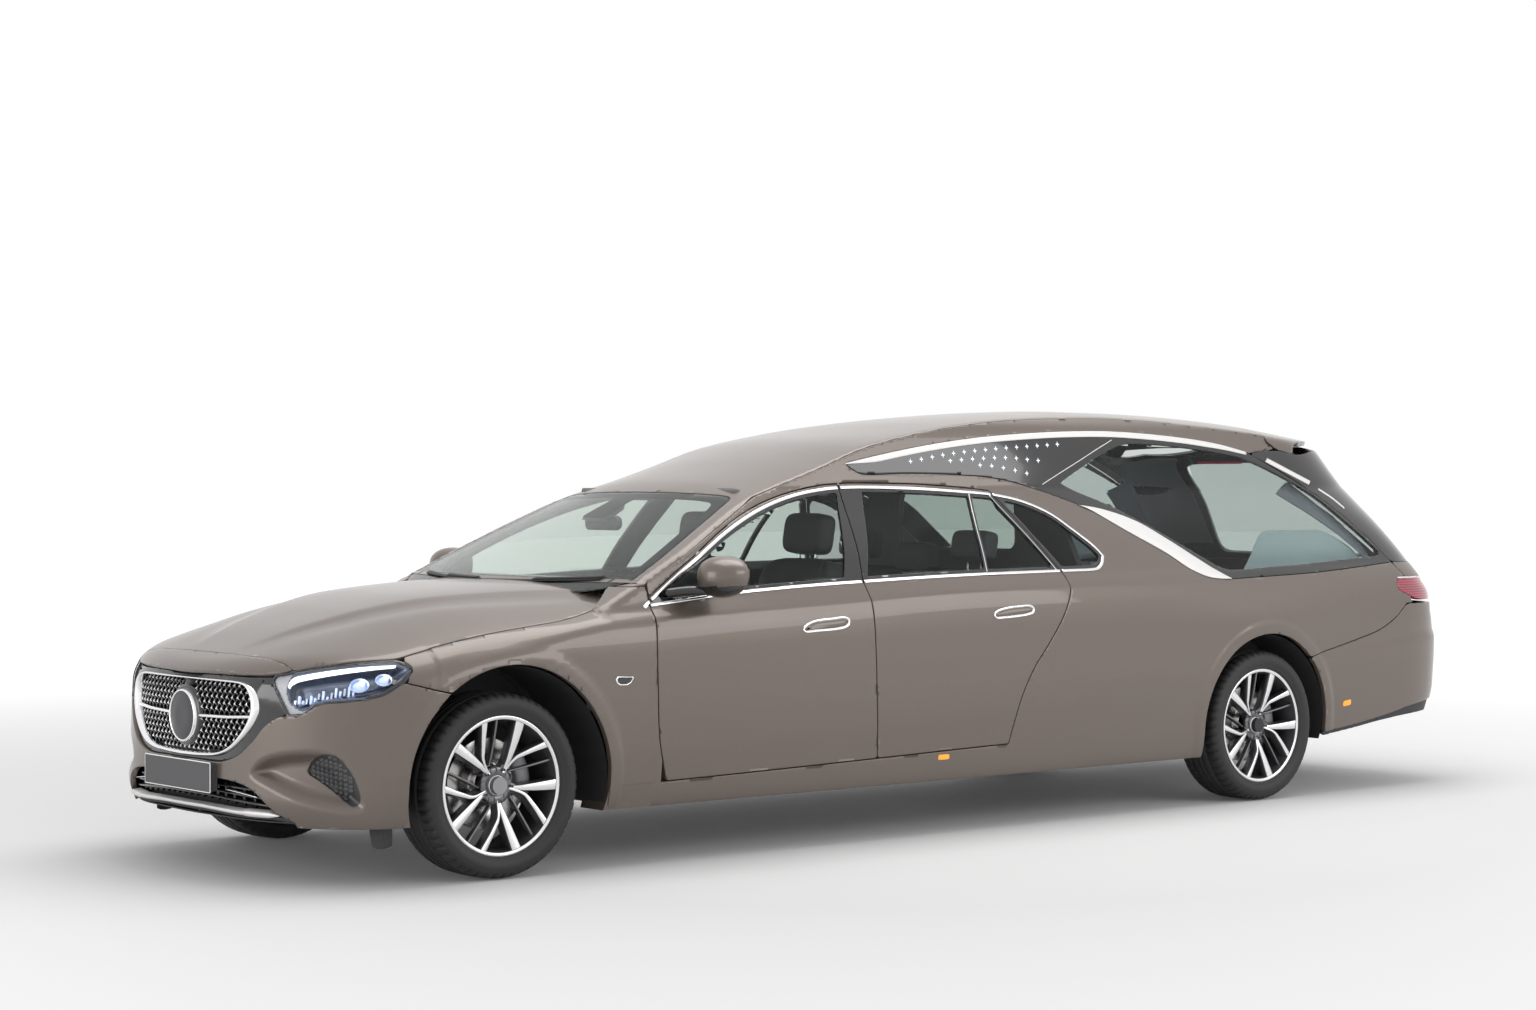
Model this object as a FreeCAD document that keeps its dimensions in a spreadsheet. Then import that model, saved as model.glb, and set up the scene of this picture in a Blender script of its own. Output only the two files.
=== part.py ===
import FreeCAD, Part
import math
import os
import re

V = FreeCAD.Vector
doc = FreeCAD.newDocument("hearse")

# The row frame: +X to the rear, +Y to the car's right, +Z up, origin at the bottom centre of the box.
# Stations called "front ..." are measured rearward from the front axle and stations called
# "rear ..." rearward from the rear axle.

# ---------------------------------------------------------------- driving dimensions
SIZES = [
    # alias, millimetres (or degrees)
    ("wheelbase", 4306), ("front_overhang", 905), ("rear_overhang", 1554),
    ("body_half_width", 942), ("sill_height", 225), ("belt_height", 1100), ("roof_height", 1835),
    ("lower_wall", 110), ("upper_wall", 50), ("skin_layer", 22), ("hood_wall", 32), ("bumper_wall", 90),
    ("glass_depth", 8), ("glass_thickness", 5), ("panel_gap", 8), ("edge_step", 42), ("frame_drop", 40),
    ("tyre_radius", 352), ("tyre_width", 245), ("rim_radius", 258), ("rim_width", 216),
    ("rim_barrel", 12), ("disc_set", 30), ("disc_thickness", 26), ("spoke_count", 5), ("hub_radius", 78),
    ("centre_bore", 33), ("front_tyre_tuck", 17), ("rear_tyre_tuck", 10), ("front_arch_radius", 457),
    ("rear_arch_radius", 432), ("front_arch_shift", 35), ("rear_arch_shift", 27), ("front_house_half", 478),
    ("rear_house_half", 650), ("kingpin_half", 700), ("ball_radius", 12), ("hinge_pin", 4), ("hinge_eye", 9),
    ("hood_gap", 13), ("hub_length", 60), ("knuckle_radius", 52),
    ("floor_height", 250), ("floor_thickness", 60), ("deck_height", 800), ("deck_thickness", 60),
    ("deck_half_width", 560), ("deck_start", 3380), ("deck_length", 2000), ("bier_hole_radius", 8),
    ("bier_spacing_long", 1400), ("bier_spacing_wide", 500),
    ("jack_pad_size", 70), ("jack_pad_drop", 25), ("seat_width", 500), ("seat_length", 500),
    ("seat_height", 170), ("seat_base", 330), ("back_height", 560), ("back_thickness", 130),
    ("engine_length", 720), ("engine_width", 560), ("engine_height", 520), ("steering_wheel_radius", 185),
    ("steering_rim_radius", 15), ("partition_thickness", 40),
]
sheet = doc.addObject("Spreadsheet::Sheet", "Sizes")
for line, (alias, value) in enumerate(SIZES, start=1):
    sheet.set("A%d" % line, alias)
    sheet.set("B%d" % line, str(value))
    sheet.setAlias("B%d" % line, alias)
DERIVED = [
    ("front_axle_x", "=(front_overhang - wheelbase - rear_overhang) / 2"),
    ("rear_axle_x", "=front_axle_x + wheelbase"),
    ("front_wheel_y", "=body_half_width - front_tyre_tuck - tyre_width / 2"),
    ("rear_wheel_y", "=body_half_width - rear_tyre_tuck - tyre_width / 2"),
]
for line, (alias, formula) in enumerate(DERIVED, start=len(SIZES) + 1):
    sheet.set("A%d" % line, alias)
    sheet.set("B%d" % line, formula)
    sheet.setAlias("B%d" % line, alias)
    doc.recompute()

ALIASES = [alias for alias, _ in SIZES + DERIVED]


def size(alias):
    return float(sheet.get(alias))


front_axle = size("front_axle_x")
rear_axle = size("rear_axle_x")
sill = size("sill_height")
belt = size("belt_height")
roof = size("roof_height")
half = size("body_half_width")
gap = size("panel_gap")
BIG = 3 * half


# ---------------------------------------------------------------- shape helpers
def arc(a, b, c):
    return Part.Arc(V(*a), V(*b), V(*c)).toShape()


def line(a, b):
    return Part.LineSegment(V(*a), V(*b)).toShape()


def outline(points, place):
    """A closed wire: an entry (u, v) ends a line, (um, vm, u, v) ends an arc through (um, vm)."""
    edges = []
    last = points[0][-2:]
    for entry in points[1:] + [points[0][-2:]]:
        end = entry[-2:]
        if len(entry) == 4:
            edges.append(arc(place(last), place(entry[:2]), place(end)))
        elif math.dist(last, end) > 1e-6:
            edges.append(line(place(last), place(end)))
        last = end
    return Part.Wire(edges)


def side_prism(points, grow=0.0, half_span=BIG, inner=0.0):
    """Side outline (x, z) grown by a gap and pushed through the left side of the car."""
    wire = outline(points, lambda p: (p[0], -half_span, p[1]))
    if grow:
        wire = wire.makeOffset2D(grow, 0, False, False, False)
    return Part.Face(wire).extrude(V(0, half_span - inner, 0))


def through_prism(points):
    """Side outline (x, z) pushed through the whole width of the car."""
    wire = outline(points, lambda p: (p[0], -BIG, p[1]))
    return Part.Face(wire).extrude(V(0, 2 * BIG, 0))


def plan_prism(points, low, high, grow=0.0):
    """Plan outline (x, y) pushed up from one height to another."""
    wire = outline(points, lambda p: (p[0], p[1], low))
    if grow:
        wire = wire.makeOffset2D(grow, 0, False, False, False)
    return Part.Face(wire).extrude(V(0, 0, high - low))


def block(x0, x1, y0, y1, z0, z1):
    return Part.makeBox(x1 - x0, y1 - y0, z1 - z0, V(x0, y0, z0))


def axle_cylinder(radius, x, y0, y1, z):
    return Part.makeCylinder(radius, y1 - y0, V(x, y0, z), V(0, 1, 0))


def mirrored(shape):
    return shape.mirror(V(0, 0, 0), V(0, 1, 0))


def front_points(points):
    """Side or plan points whose x is a front station."""
    return [tuple(v + front_axle if i % 2 == 0 else v for i, v in enumerate(p)) for p in points]


nodes = []


def add(label, shape):
    """One sub-part whose shape is set from the sheet's sizes."""
    feature = doc.addObject("Part::Feature", label)
    feature.Label = label
    solids = [s for s in shape.Solids if s.Volume > 2000.0]
    feature.Shape = solids[0] if len(solids) == 1 else Part.Compound(solids)
    nodes.append(feature)
    return feature


def add_pair(label, left):
    add(label + "_left", left)
    add(label + "_right", mirrored(left))


# ---------------------------------------------------------------- body envelope
# Plan sections of the lower body. tuck: how far its side stands inside the widest half width.
LOWER = [
    # share of sill..belt, nose mid, nose edge, nose edge half, side start, tuck,
    #   side end, tail edge, tail edge half, tail mid (tail columns are rear stations)
    (0.00, -850, -745, 600, -400, 40, 930, 1330, 700, 1440),
    (0.12, -893, -795, 560, -370, 16, 1000, 1424, 745, 1500),
    (0.31, -890, -788, 520, -330, 4, 1040, 1490, 780, 1554),
    (0.56, -885, -785, 490, -300, 0, 1050, 1490, 780, 1554),
    (0.725, -870, -770, 490, -280, 4, 1040, 1440, 775, 1510),
    (0.82, -850, -740, 490, -260, 15, 1030, 1436, 760, 1508),
    (0.895, -820, -700, 490, -240, 37, 1015, 1374, 730, 1450),
    (1.00, -790, -650, 490, -200, 80, 990, 1310, 700, 1394),
]
# Plan sections of the cabin above the belt, with the windscreen at the nose and the tailgate at the tail.
UPPER = [
    (0.00, 544, 690, 803, 745, 80, 990, 1310, 700, 1394),
    (0.115, 723, 869, 755, 950, 122, 976, 1252, 660, 1342),
    (0.27, 966, 1100, 690, 1200, 188, 860, 1176, 590, 1268),
    (0.46, 1262, 1408, 592, 1500, 285, 690, 1090, 500, 1188),
    (0.68, 1606, 1752, 552, 1840, 340, 500, 950, 455, 1050),
    (0.82, 1825, 1971, 530, 2050, 360, 430, 870, 430, 960),
    (1.02, 2138, 2284, 470, 2370, 415, 350, 770, 400, 880),
]
# Crown sections that limit the hood and the roof from above.
HOOD_CROWN = [
    # front station, middle height, edge height, edge half
    (-930, 720, 560, 930), (-880, 784, 610, 930), (-780, 832, 690, 930), (-673, 873, 735, 930),
    (-400, 962, 805, 930), (0, 1045, 885, 930), (345, 1080, 930, 930), (560, 1098, 965, 930),
    (760, 1105, 1100, 930),
]
ROOF_CROWN = [
    (200, 1235, 1190, 700), (1290, 1452, 1416, 640), (1640, 1563, 1500, 620), (1969, 1652, 1606, 602),
    (2384, 1728, 1703, 583), (2983, 1805, 1775, 545), (3602, 1835, 1795, 515), (4144, 1829, 1769, 546),
    (4700, 1800, 1725, 560), (5200, 1742, 1660, 560), (6100, 1600, 1520, 560),
]


def plan_wire(row, z, inset, nose_inset, tail_inset):
    share, nose_mid, nose_edge, nose_half, side_start, tuck, side_end, tail_edge, tail_half, tail_mid = row
    wide = half - tuck - inset
    a = (front_axle + nose_mid + nose_inset, 0)
    b = (front_axle + nose_edge + nose_inset, min(nose_half, wide - 40))
    c = (front_axle + side_start + nose_inset, wide)
    d = (rear_axle + side_end - tail_inset, wide)
    e = (rear_axle + tail_edge - tail_inset, min(tail_half, wide - 40))
    f = (rear_axle + tail_mid - tail_inset, 0)
    nose = (b[0] + 0.36 * (c[0] - b[0]), b[1] + 0.66 * (c[1] - b[1]))
    tail = (e[0] - 0.34 * (e[0] - d[0]), e[1] + 0.66 * (d[1] - e[1]))
    up = lambda p: (p[0], p[1], z)
    down = lambda p: (p[0], -p[1], z)
    return Part.Wire([
        arc(down(b), up(a), up(b)), arc(up(b), up(nose), up(c)), line(up(c), up(d)),
        arc(up(d), up(tail), up(e)), arc(up(e), up(f), down(e)), arc(down(e), down(tail), down(d)),
        line(down(d), down(c)), arc(down(c), down(nose), down(b)),
    ])


def plan_loft(rows, low, high, inset=0.0, nose_inset=0.0, tail_inset=0.0):
    wires = [plan_wire(r, low + r[0] * (high - low), inset, nose_inset, tail_inset) for r in rows]
    return Part.makeLoft(wires, True, True)


def crown_loft(rows, drop=0.0):
    """Everything under a crown that is dropped by a wall thickness."""
    wires = []
    base = -500
    for station, middle, edge, edge_half in rows:
        x = front_axle + station
        out = edge_half + 500
        low = edge - 160 - drop
        wires.append(Part.Wire([
            arc((x, -edge_half, edge - drop), (x, 0, middle - drop), (x, edge_half, edge - drop)),
            line((x, edge_half, edge - drop), (x, out, low)), line((x, out, low), (x, out, base)),
            line((x, out, base), (x, -out, base)), line((x, -out, base), (x, -out, low)),
            line((x, -out, low), (x, -edge_half, edge - drop)),
        ]))
    return Part.makeLoft(wires, True, True)


def envelope(inset, nose_inset, tail_inset, drop, low_inset=None):
    """The body's outer form, inset from all sides by a wall."""
    lower = plan_loft(LOWER, sill, belt, low_inset if low_inset is not None else inset, nose_inset, tail_inset)
    upper = plan_loft(UPPER, belt, roof, inset, nose_inset, tail_inset)
    return lower, upper.common(crown_loft(ROOF_CROWN, drop))


hood_limit = crown_loft(HOOD_CROWN)
behind = block(front_axle + 755, rear_axle + 3000, -BIG, BIG, -500, 2 * roof)
hood_limit = hood_limit.fuse(behind)
under_cut = through_prism([
    (rear_axle + 380, sill - 50), (rear_axle + 540, sill + 28), (rear_axle + 1185, sill + 85),
    (rear_axle + 1446, sill + 136), (rear_axle + 1800, sill + 150), (rear_axle + 1800, sill - 50)])
lower_out, upper_out = envelope(0, 0, 0, 0)
outer = lower_out.common(hood_limit).cut(under_cut).fuse(upper_out)
skin = size("skin_layer")
lower_mid, upper_mid = envelope(skin, 2.2 * skin, 1.4 * skin, skin)
core = lower_mid.fuse(upper_mid)
wall = size("upper_wall")
lower_in, upper_in = envelope(wall, 2.4 * wall, 1.4 * wall, wall, size("lower_wall"))

# ---------------------------------------------------------------- hollows
floor_top = size("floor_height") + size("floor_thickness")
deck_z = size("deck_height")
firewall = front_axle + 560
tyre_r = size("tyre_radius")
house = size("front_house_half")
arch_front_x = front_axle + size("front_arch_shift")
arch_rear_x = rear_axle + size("rear_arch_shift")
house_wall = 30


def both(shape):
    return shape.fuse(mirrored(shape))


cabin = lower_in.common(block(firewall + 40, rear_axle + 1340, -BIG, BIG, floor_top, belt))
rear_house = axle_cylinder(size("rear_arch_radius") + house_wall, arch_rear_x, -BIG,
                           house_wall - size("rear_house_half"), tyre_r)
ramp = through_prism([
    (rear_axle + 300, 0), (rear_axle + 300, floor_top), (rear_axle + 560, floor_top + 12),
    (rear_axle + 1185, sill + 150), (rear_axle + 1600, sill + 220), (rear_axle + 1600, 0)])
kick_half = size("rear_house_half") - house_wall - 8
kick_top = tyre_r + 160
kick_wall = size("floor_thickness")
kick = block(rear_axle - 640, rear_axle + 300, -kick_half, kick_half, 0, kick_top)
kick_hollow = block(rear_axle - 640 + kick_wall, rear_axle + 300 - kick_wall, kick_wall - kick_half,
                    kick_half - kick_wall, 0, kick_top - kick_wall)
cabin_space = cabin.fuse(upper_in).cut(both(rear_house)).cut(ramp).cut(kick)
arch_front = axle_cylinder(size("front_arch_radius"), arch_front_x, -BIG, -house, tyre_r)
arch_rear = axle_cylinder(size("rear_arch_radius"), arch_rear_x, -BIG, -size("rear_house_half"), tyre_r)
arches = both(arch_front.fuse(arch_rear))
under_floor = block(front_axle - 640, rear_axle + 380, 190 - half, half - 190, sill - 60, size("floor_height"))
engine_bay = block(front_axle - 640, firewall, 40 - house, house - 40, sill - 60, belt)
solid_front = lower_out.common(hood_limit).common(block(front_axle - 1200, front_axle + 1000, -BIG, BIG, 0, roof))
stub_slot = block(rear_axle - 60, rear_axle + 60, -size("rear_house_half") - 5, size("rear_house_half") + 5,
                  0, tyre_r + 60)
shell = outer.cut(cabin_space).cut(arches).cut(under_floor).cut(kick_hollow).cut(stub_slot)

# ---------------------------------------------------------------- outlines (front stations unless named rear)
FRONT_DOOR = front_points([
    (767, 321), (714, 560, 718, 780), (732, 1048), (1203, 1324, 1940, 1500), (1842, 1100),
    (1852, 800, 1872, 344)])
REAR_DOOR = front_points([
    (1882, 345), (1862, 800, 1862, 1100), (1970, 1500), (2400, 1505, 2810, 1462),
    (2915, 1280, 3021, 1100), (3020, 1030, 2950, 890), (2800, 720, 2718, 520), (2644, 362)])
FRONT_GLASS = front_points([(820, 1066), (1220, 1278, 1880, 1450), (1752, 1104)])
REAR_GLASS = front_points([(1920, 1112), (2034, 1456), (2330, 1462, 2618, 1440), (2548, 1120)])
DOOR_QUARTER = front_points([(2590, 1122), (2662, 1432), (2760, 1408), (2945, 1124)])
QUARTER_GLASS = front_points([(3062, 1126), (2862, 1412), (3110, 1352, 3318, 1172), (3240, 1126)])
DECK_GLASS = front_points([
    (2040, 1560), (2700, 1690, 3500, 1706), (4100, 1702, 4490, 1622), (4980, 1440, 5305, 1112),
    (4117, 1062), (3790, 1190, 3400, 1392), (2900, 1545, 2330, 1540)])
HOOD_PLAN = front_points([
    (500, 0), (600, -560, 676, -715), (560, -770), (0, -800, -420, -772), (-660, -690, -800, -500),
    (-985, 0, -800, 500), (-660, 690, -420, 772), (0, 800, 560, 770), (676, 715), (600, 560, 500, 0)])
tailgate_hinge_x = rear_axle + 284
TAILGATE = [
    (tailgate_hinge_x + 8, roof + 300), (tailgate_hinge_x + 8, 1632),
    (rear_axle + 720, 1432, rear_axle + 1052, 1106), (rear_axle + 1100, 1000), (rear_axle + 1115, 905),
    (rear_axle + 2000, 905), (rear_axle + 2000, roof + 300)]
FENDER = front_points([(-452, 745), (-452, belt), (722, belt), (722, 1048), (706, 780), (706, 560, 757, 321),
                       (500, 318), (300, 318)])
HEADLAMP = front_points([(-1000, 690), (-780, 690), (-600, 708), (-465, 752), (-424, 812), (-440, 836),
                         (-640, 806), (-1000, 772)])
REAR_BUMPER = [(rear_axle + 329, 662), (rear_axle + 847, 774), (rear_axle + 1066, 897),
               (rear_axle + 2000, 897), (rear_axle + 2000, 0), (rear_axle + 329, 0)]

# ---------------------------------------------------------------- doors and glass
step = size("edge_step")
outer_layer = shell.cut(core)
inner_layer = shell.common(core)
pane = size("glass_depth")
pane_back = pane + size("glass_thickness")
pane_out = envelope(pane, 2.2 * pane, 1.4 * pane, pane)
pane_in = envelope(pane_back, 2.2 * pane_back, 1.4 * pane_back, pane_back)
pane_layer = pane_out[0].fuse(pane_out[1]).cut(pane_in[0].fuse(pane_in[1]))


def door_solid(points):
    """A door: a full outer skin and a narrower box behind it, so its shut faces are stepped."""
    face = outer_layer.common(side_prism(points, 0, BIG, 300))
    box = inner_layer.common(side_prism(points, -step, BIG, 300))
    return face.fuse(box)


def glass(points):
    return pane_layer.common(side_prism(points, 0, BIG, 300))


front_door = door_solid(FRONT_DOOR).cut(side_prism(FRONT_GLASS))
frame_zone = block(front_axle, rear_axle, -BIG, BIG, belt - size("frame_drop"), 2 * roof)
add_pair("front_door", front_door.cut(frame_zone))
add_pair("front_door_frame", front_door.common(frame_zone))
add_pair("rear_door", door_solid(REAR_DOOR).cut(side_prism(REAR_GLASS)).cut(side_prism(DOOR_QUARTER)))
add_pair("front_door_glass", glass(FRONT_GLASS))
add_pair("rear_door_glass", glass(REAR_GLASS).fuse(glass(DOOR_QUARTER)))
add("side_windows", both(glass(QUARTER_GLASS).fuse(glass(DECK_GLASS))))

# ---------------------------------------------------------------- tailgate
corner = both(block(rear_axle + 900, rear_axle + 2000, -BIG, -600, 880, 1092))
corner_keep = both(block(rear_axle + 900, rear_axle + 2000, -BIG, -608, 880, 1084))
tail_prism = through_prism(TAILGATE).cut(corner)
tail_wire = outline(TAILGATE, lambda p: (p[0], -BIG, p[1])).makeOffset2D(gap, 0, False, False, False)
tail_open = Part.Face(tail_wire).extrude(V(0, 2 * BIG, 0)).cut(corner_keep)
rear_pane = block(rear_axle + 640, rear_axle + 1900, -470, 470, 1128, 1610)
spoiler_plan = outline([
    (rear_axle + 560, -560), (rear_axle + 860, -545), (rear_axle + 1120, 0, rear_axle + 860, 545),
    (rear_axle + 560, 560)], lambda p: (p[0], p[1], belt))
roof_under = crown_loft(ROOF_CROWN)
spoiler = Part.Face(spoiler_plan).extrude(V(0, 0, roof)).common(roof_under).cut(crown_loft(ROOF_CROWN, 42))
gate = shell.common(tail_prism).cut(rear_pane).fuse(spoiler)
add("tailgate_glass", pane_layer.common(rear_pane))

# ---------------------------------------------------------------- hood
pin = size("hinge_pin")
eye = size("hinge_eye")


def hinge_ear(x, z, y, out_x, out_z, hole):
    """A lug round a hinge axis at (x, z), 12 mm thick, reaching to a point of its panel."""
    lug = axle_cylinder(eye, x, y, y + 12, z)
    tip = math.hypot(out_x - x, out_z - z)
    web = Part.makeBox(tip, 12, 2 * eye - 4, V(0, y, 2 - eye))
    turn = math.degrees(math.atan2(out_z - z, out_x - x))
    web.Placement = FreeCAD.Placement(V(x, 0, z), FreeCAD.Rotation(V(0, 1, 0), -turn))
    lug = lug.fuse(web)
    return lug.cut(axle_cylinder(hole, x, y - 1, y + 13, z)) if hole else lug


hood_hinge = (front_axle + 684, belt + 25)
gate_hinge = (tailgate_hinge_x, roof - 19)
hood_pins = both(axle_cylinder(pin, hood_hinge[0], -716, -690, hood_hinge[1]))
hood_static = both(hinge_ear(*hood_hinge, -714, front_axle + 760, belt + 10, 0)).fuse(hood_pins)
hood_ears = both(hinge_ear(*hood_hinge, -701.5, front_axle + 640, belt - 40, pin + 0.05))
gate_pins = both(axle_cylinder(pin, gate_hinge[0], -190, -164, gate_hinge[1]))
gate_static = both(hinge_ear(*gate_hinge, -188, gate_hinge[0] - 60, roof - 45, 0)).fuse(gate_pins)
gate_ears = both(hinge_ear(*gate_hinge, -175.5, gate_hinge[0] + 60, roof - 50, pin + 0.05))
under_hood = crown_loft(HOOD_CROWN, size("hood_wall"))
nose_cut = block(front_axle - 1200, front_axle - 500, -BIG, BIG, -500, 772)
hood = outer.common(plan_prism(HOOD_PLAN, 600, belt + 60)).cut(under_hood).cut(nose_cut).cut(upper_out)
hood = hood.fuse(hood_ears)
add("hood", hood)
hood_open = plan_prism(HOOD_PLAN, 600, belt + 60, size("hood_gap")).cut(crown_loft(HOOD_CROWN, size("hood_wall") + gap))
hood_open = hood_open.cut(block(front_axle - 1200, front_axle - 500, -BIG, BIG, -500, 772 - gap))
hood_open = hood_open.cut(upper_out)
add("tailgate", gate.fuse(gate_ears))

# ---------------------------------------------------------------- body panels
def layered_cut(points):
    """What is left of the left shell's two layers around a door."""
    return side_prism(points, gap, BIG, 300), side_prism(points, gap - step, BIG, 300)


face_tools = []
box_tools = []
for points in (FRONT_DOOR, REAR_DOOR):
    face_tool, box_tool = layered_cut(points)
    face_tools += [face_tool, mirrored(face_tool)]
    box_tools += [box_tool, mirrored(box_tool)]
glass_tools = [side_prism(QUARTER_GLASS), side_prism(DECK_GLASS)]
glass_tools += [mirrored(t) for t in glass_tools]
faces = outer_layer.cut(face_tools + glass_tools + [tail_open, hood_open, engine_bay])
boxes = inner_layer.cut(box_tools + glass_tools + [tail_open, hood_open, engine_bay])
body = faces.fuse(boxes)

WINDSCREEN_FRONT = [(-765, 1112), (-730, 1192), (-574, 1424), (0, 1446, 574, 1424), (730, 1192), (765, 1112)]
screen_wire = outline(WINDSCREEN_FRONT, lambda p: (front_axle + 450, p[0], p[1]))
screen_prism = Part.Face(screen_wire).extrude(V(1000, 0, 0))
add("windscreen", pane_layer.common(screen_prism))
body = body.cut(both(block(hood_hinge[0] - 70, hood_hinge[0] + 14, -702, -687, belt - 80, belt + 45)))
body = body.fuse([hood_static, gate_static])
body = body.cut(screen_prism.common(block(front_axle + 450, front_axle + 1425, -BIG, BIG, 1000, roof)))

lamp_depth = plan_loft(LOWER, sill, belt, 150, 170, 150)
front_zone = block(front_axle - 1200, front_axle - 430, -BIG, BIG, 0, belt)
lamp_zone = both(through_prism(HEADLAMP).common(block(front_axle - 1200, front_axle - 400, -BIG, -485, 0, belt)))
grille_zone = block(front_axle - 1200, front_axle - 600, -477, 477, 462, 764)
add("headlamps", body.common(lamp_zone).cut(lamp_depth))
thin_nose = plan_loft(LOWER, sill, belt, 60, 70, 60)
add("grille", body.common(grille_zone).cut(thin_nose))
bumper_depth = plan_loft(LOWER, sill - 1, belt, size("bumper_wall"), 110, 90)
bumper_zone = front_zone.common(block(front_axle - 1200, front_axle - 430, -BIG, BIG, 0, 764 - gap))
add("front_bumper", body.common(bumper_zone).cut(lamp_zone).cut(grille_zone).cut(bumper_depth))
rear_zone = through_prism(REAR_BUMPER)
add("rear_bumper", body.common(rear_zone).cut(bumper_depth))
tail_lamp_zone = both(block(rear_axle + 1150, rear_axle + 1700, -BIG, -608, 905, 1010))
add("tail_lamps", body.common(tail_lamp_zone).cut(lamp_depth))
fender_zone = both(side_prism(FENDER, 0, BIG, 620))
add("fenders", body.common(fender_zone).cut(lamp_zone).cut(bumper_zone))
roof_zone = block(front_axle + 1270, tailgate_hinge_x, -500, 500, 1420, roof + 100)
add("roof", body.common(roof_zone))
floor_zone = block(firewall, rear_axle + 320, 170 - half, half - 170, 100, floor_top)
floor_zone = floor_zone.fuse(kick).cut(rear_zone).cut(both(rear_house))
pad = size("jack_pad_size")
pads = []
jack_z = size("floor_height") - size("jack_pad_drop")
for x in (front_axle + 620, rear_axle - 760):
    pads.append(both(block(x, x + pad, -740, pad - 740, jack_z, jack_z + 30)))
add("floor", body.common(floor_zone).fuse(pads))
taken = [lamp_zone, grille_zone, bumper_zone, rear_zone, tail_lamp_zone, fender_zone, roof_zone, floor_zone]
rest = body.cut(taken)
inside = half - size("lower_wall")
SPLITS = [
    # node, x start, x end, largest half span, z start, z end: taken from what is left, in this order
    ("front_panel", front_axle - 1200, front_axle - 560, BIG, 0, roof),
    ("inner_fenders", front_axle - 560, firewall - 1, house + 2, 0, belt),
    ("firewall", firewall - 1, firewall + 41, inside, 0, belt),
    ("cowl_sides", front_axle - 560, front_axle + 700, BIG, 0, roof),
    ("wheel_houses", rear_axle - 700, rear_axle + 900, inside, 0, belt),
    ("sills", front_axle + 700, rear_axle - 620, BIG, 0, 345),
    ("quarter_panels", front_axle + 2560, rear_axle + 3000, BIG, 0, belt),
    ("side_frames", front_axle, rear_axle + 3000, BIG, 0, 2 * roof),
]
for name, x0, x1, span, z0, z1 in SPLITS:
    zone = block(x0, x1, -span, span, z0, z1)
    add(name, rest.common(zone))
    rest = rest.cut(zone)

# ---------------------------------------------------------------- wheels, hubs and brakes
def ref(text):
    """A spreadsheet formula for a document object's property."""
    for alias in sorted(ALIASES, key=len, reverse=True):
        text = re.sub(r"\b%s\b" % alias, "Sizes." + alias, text)
    return text


def bind(thing, **formulas):
    for prop, text in formulas.items():
        thing.setExpression(prop.replace("at_", "Placement.Base."), ref(text))


def cross_cylinder(name, radius, length, x, y, z):
    """A cylinder lying across the car, from y toward +Y."""
    thing = doc.addObject("Part::Cylinder", name)
    thing.Placement = FreeCAD.Placement(V(0, 0, 0), FreeCAD.Rotation(V(1, 0, 0), -90))
    bind(thing, Radius=radius, Height=length, at_x=x, at_y=y, at_z=z)
    return thing


def box(name, length, width, height, x, y, z):
    thing = doc.addObject("Part::Box", name)
    bind(thing, Length=length, Width=width, Height=height, at_x=x, at_y=y, at_z=z)
    return thing


def joined(kind, name, things):
    result = doc.addObject(kind, name)
    if kind == "Part::Cut":
        result.Base, result.Tool = things
    else:
        result.Shapes = things
    return result


def node(thing, label):
    thing.Label = label
    nodes.append(thing)
    return thing


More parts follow.
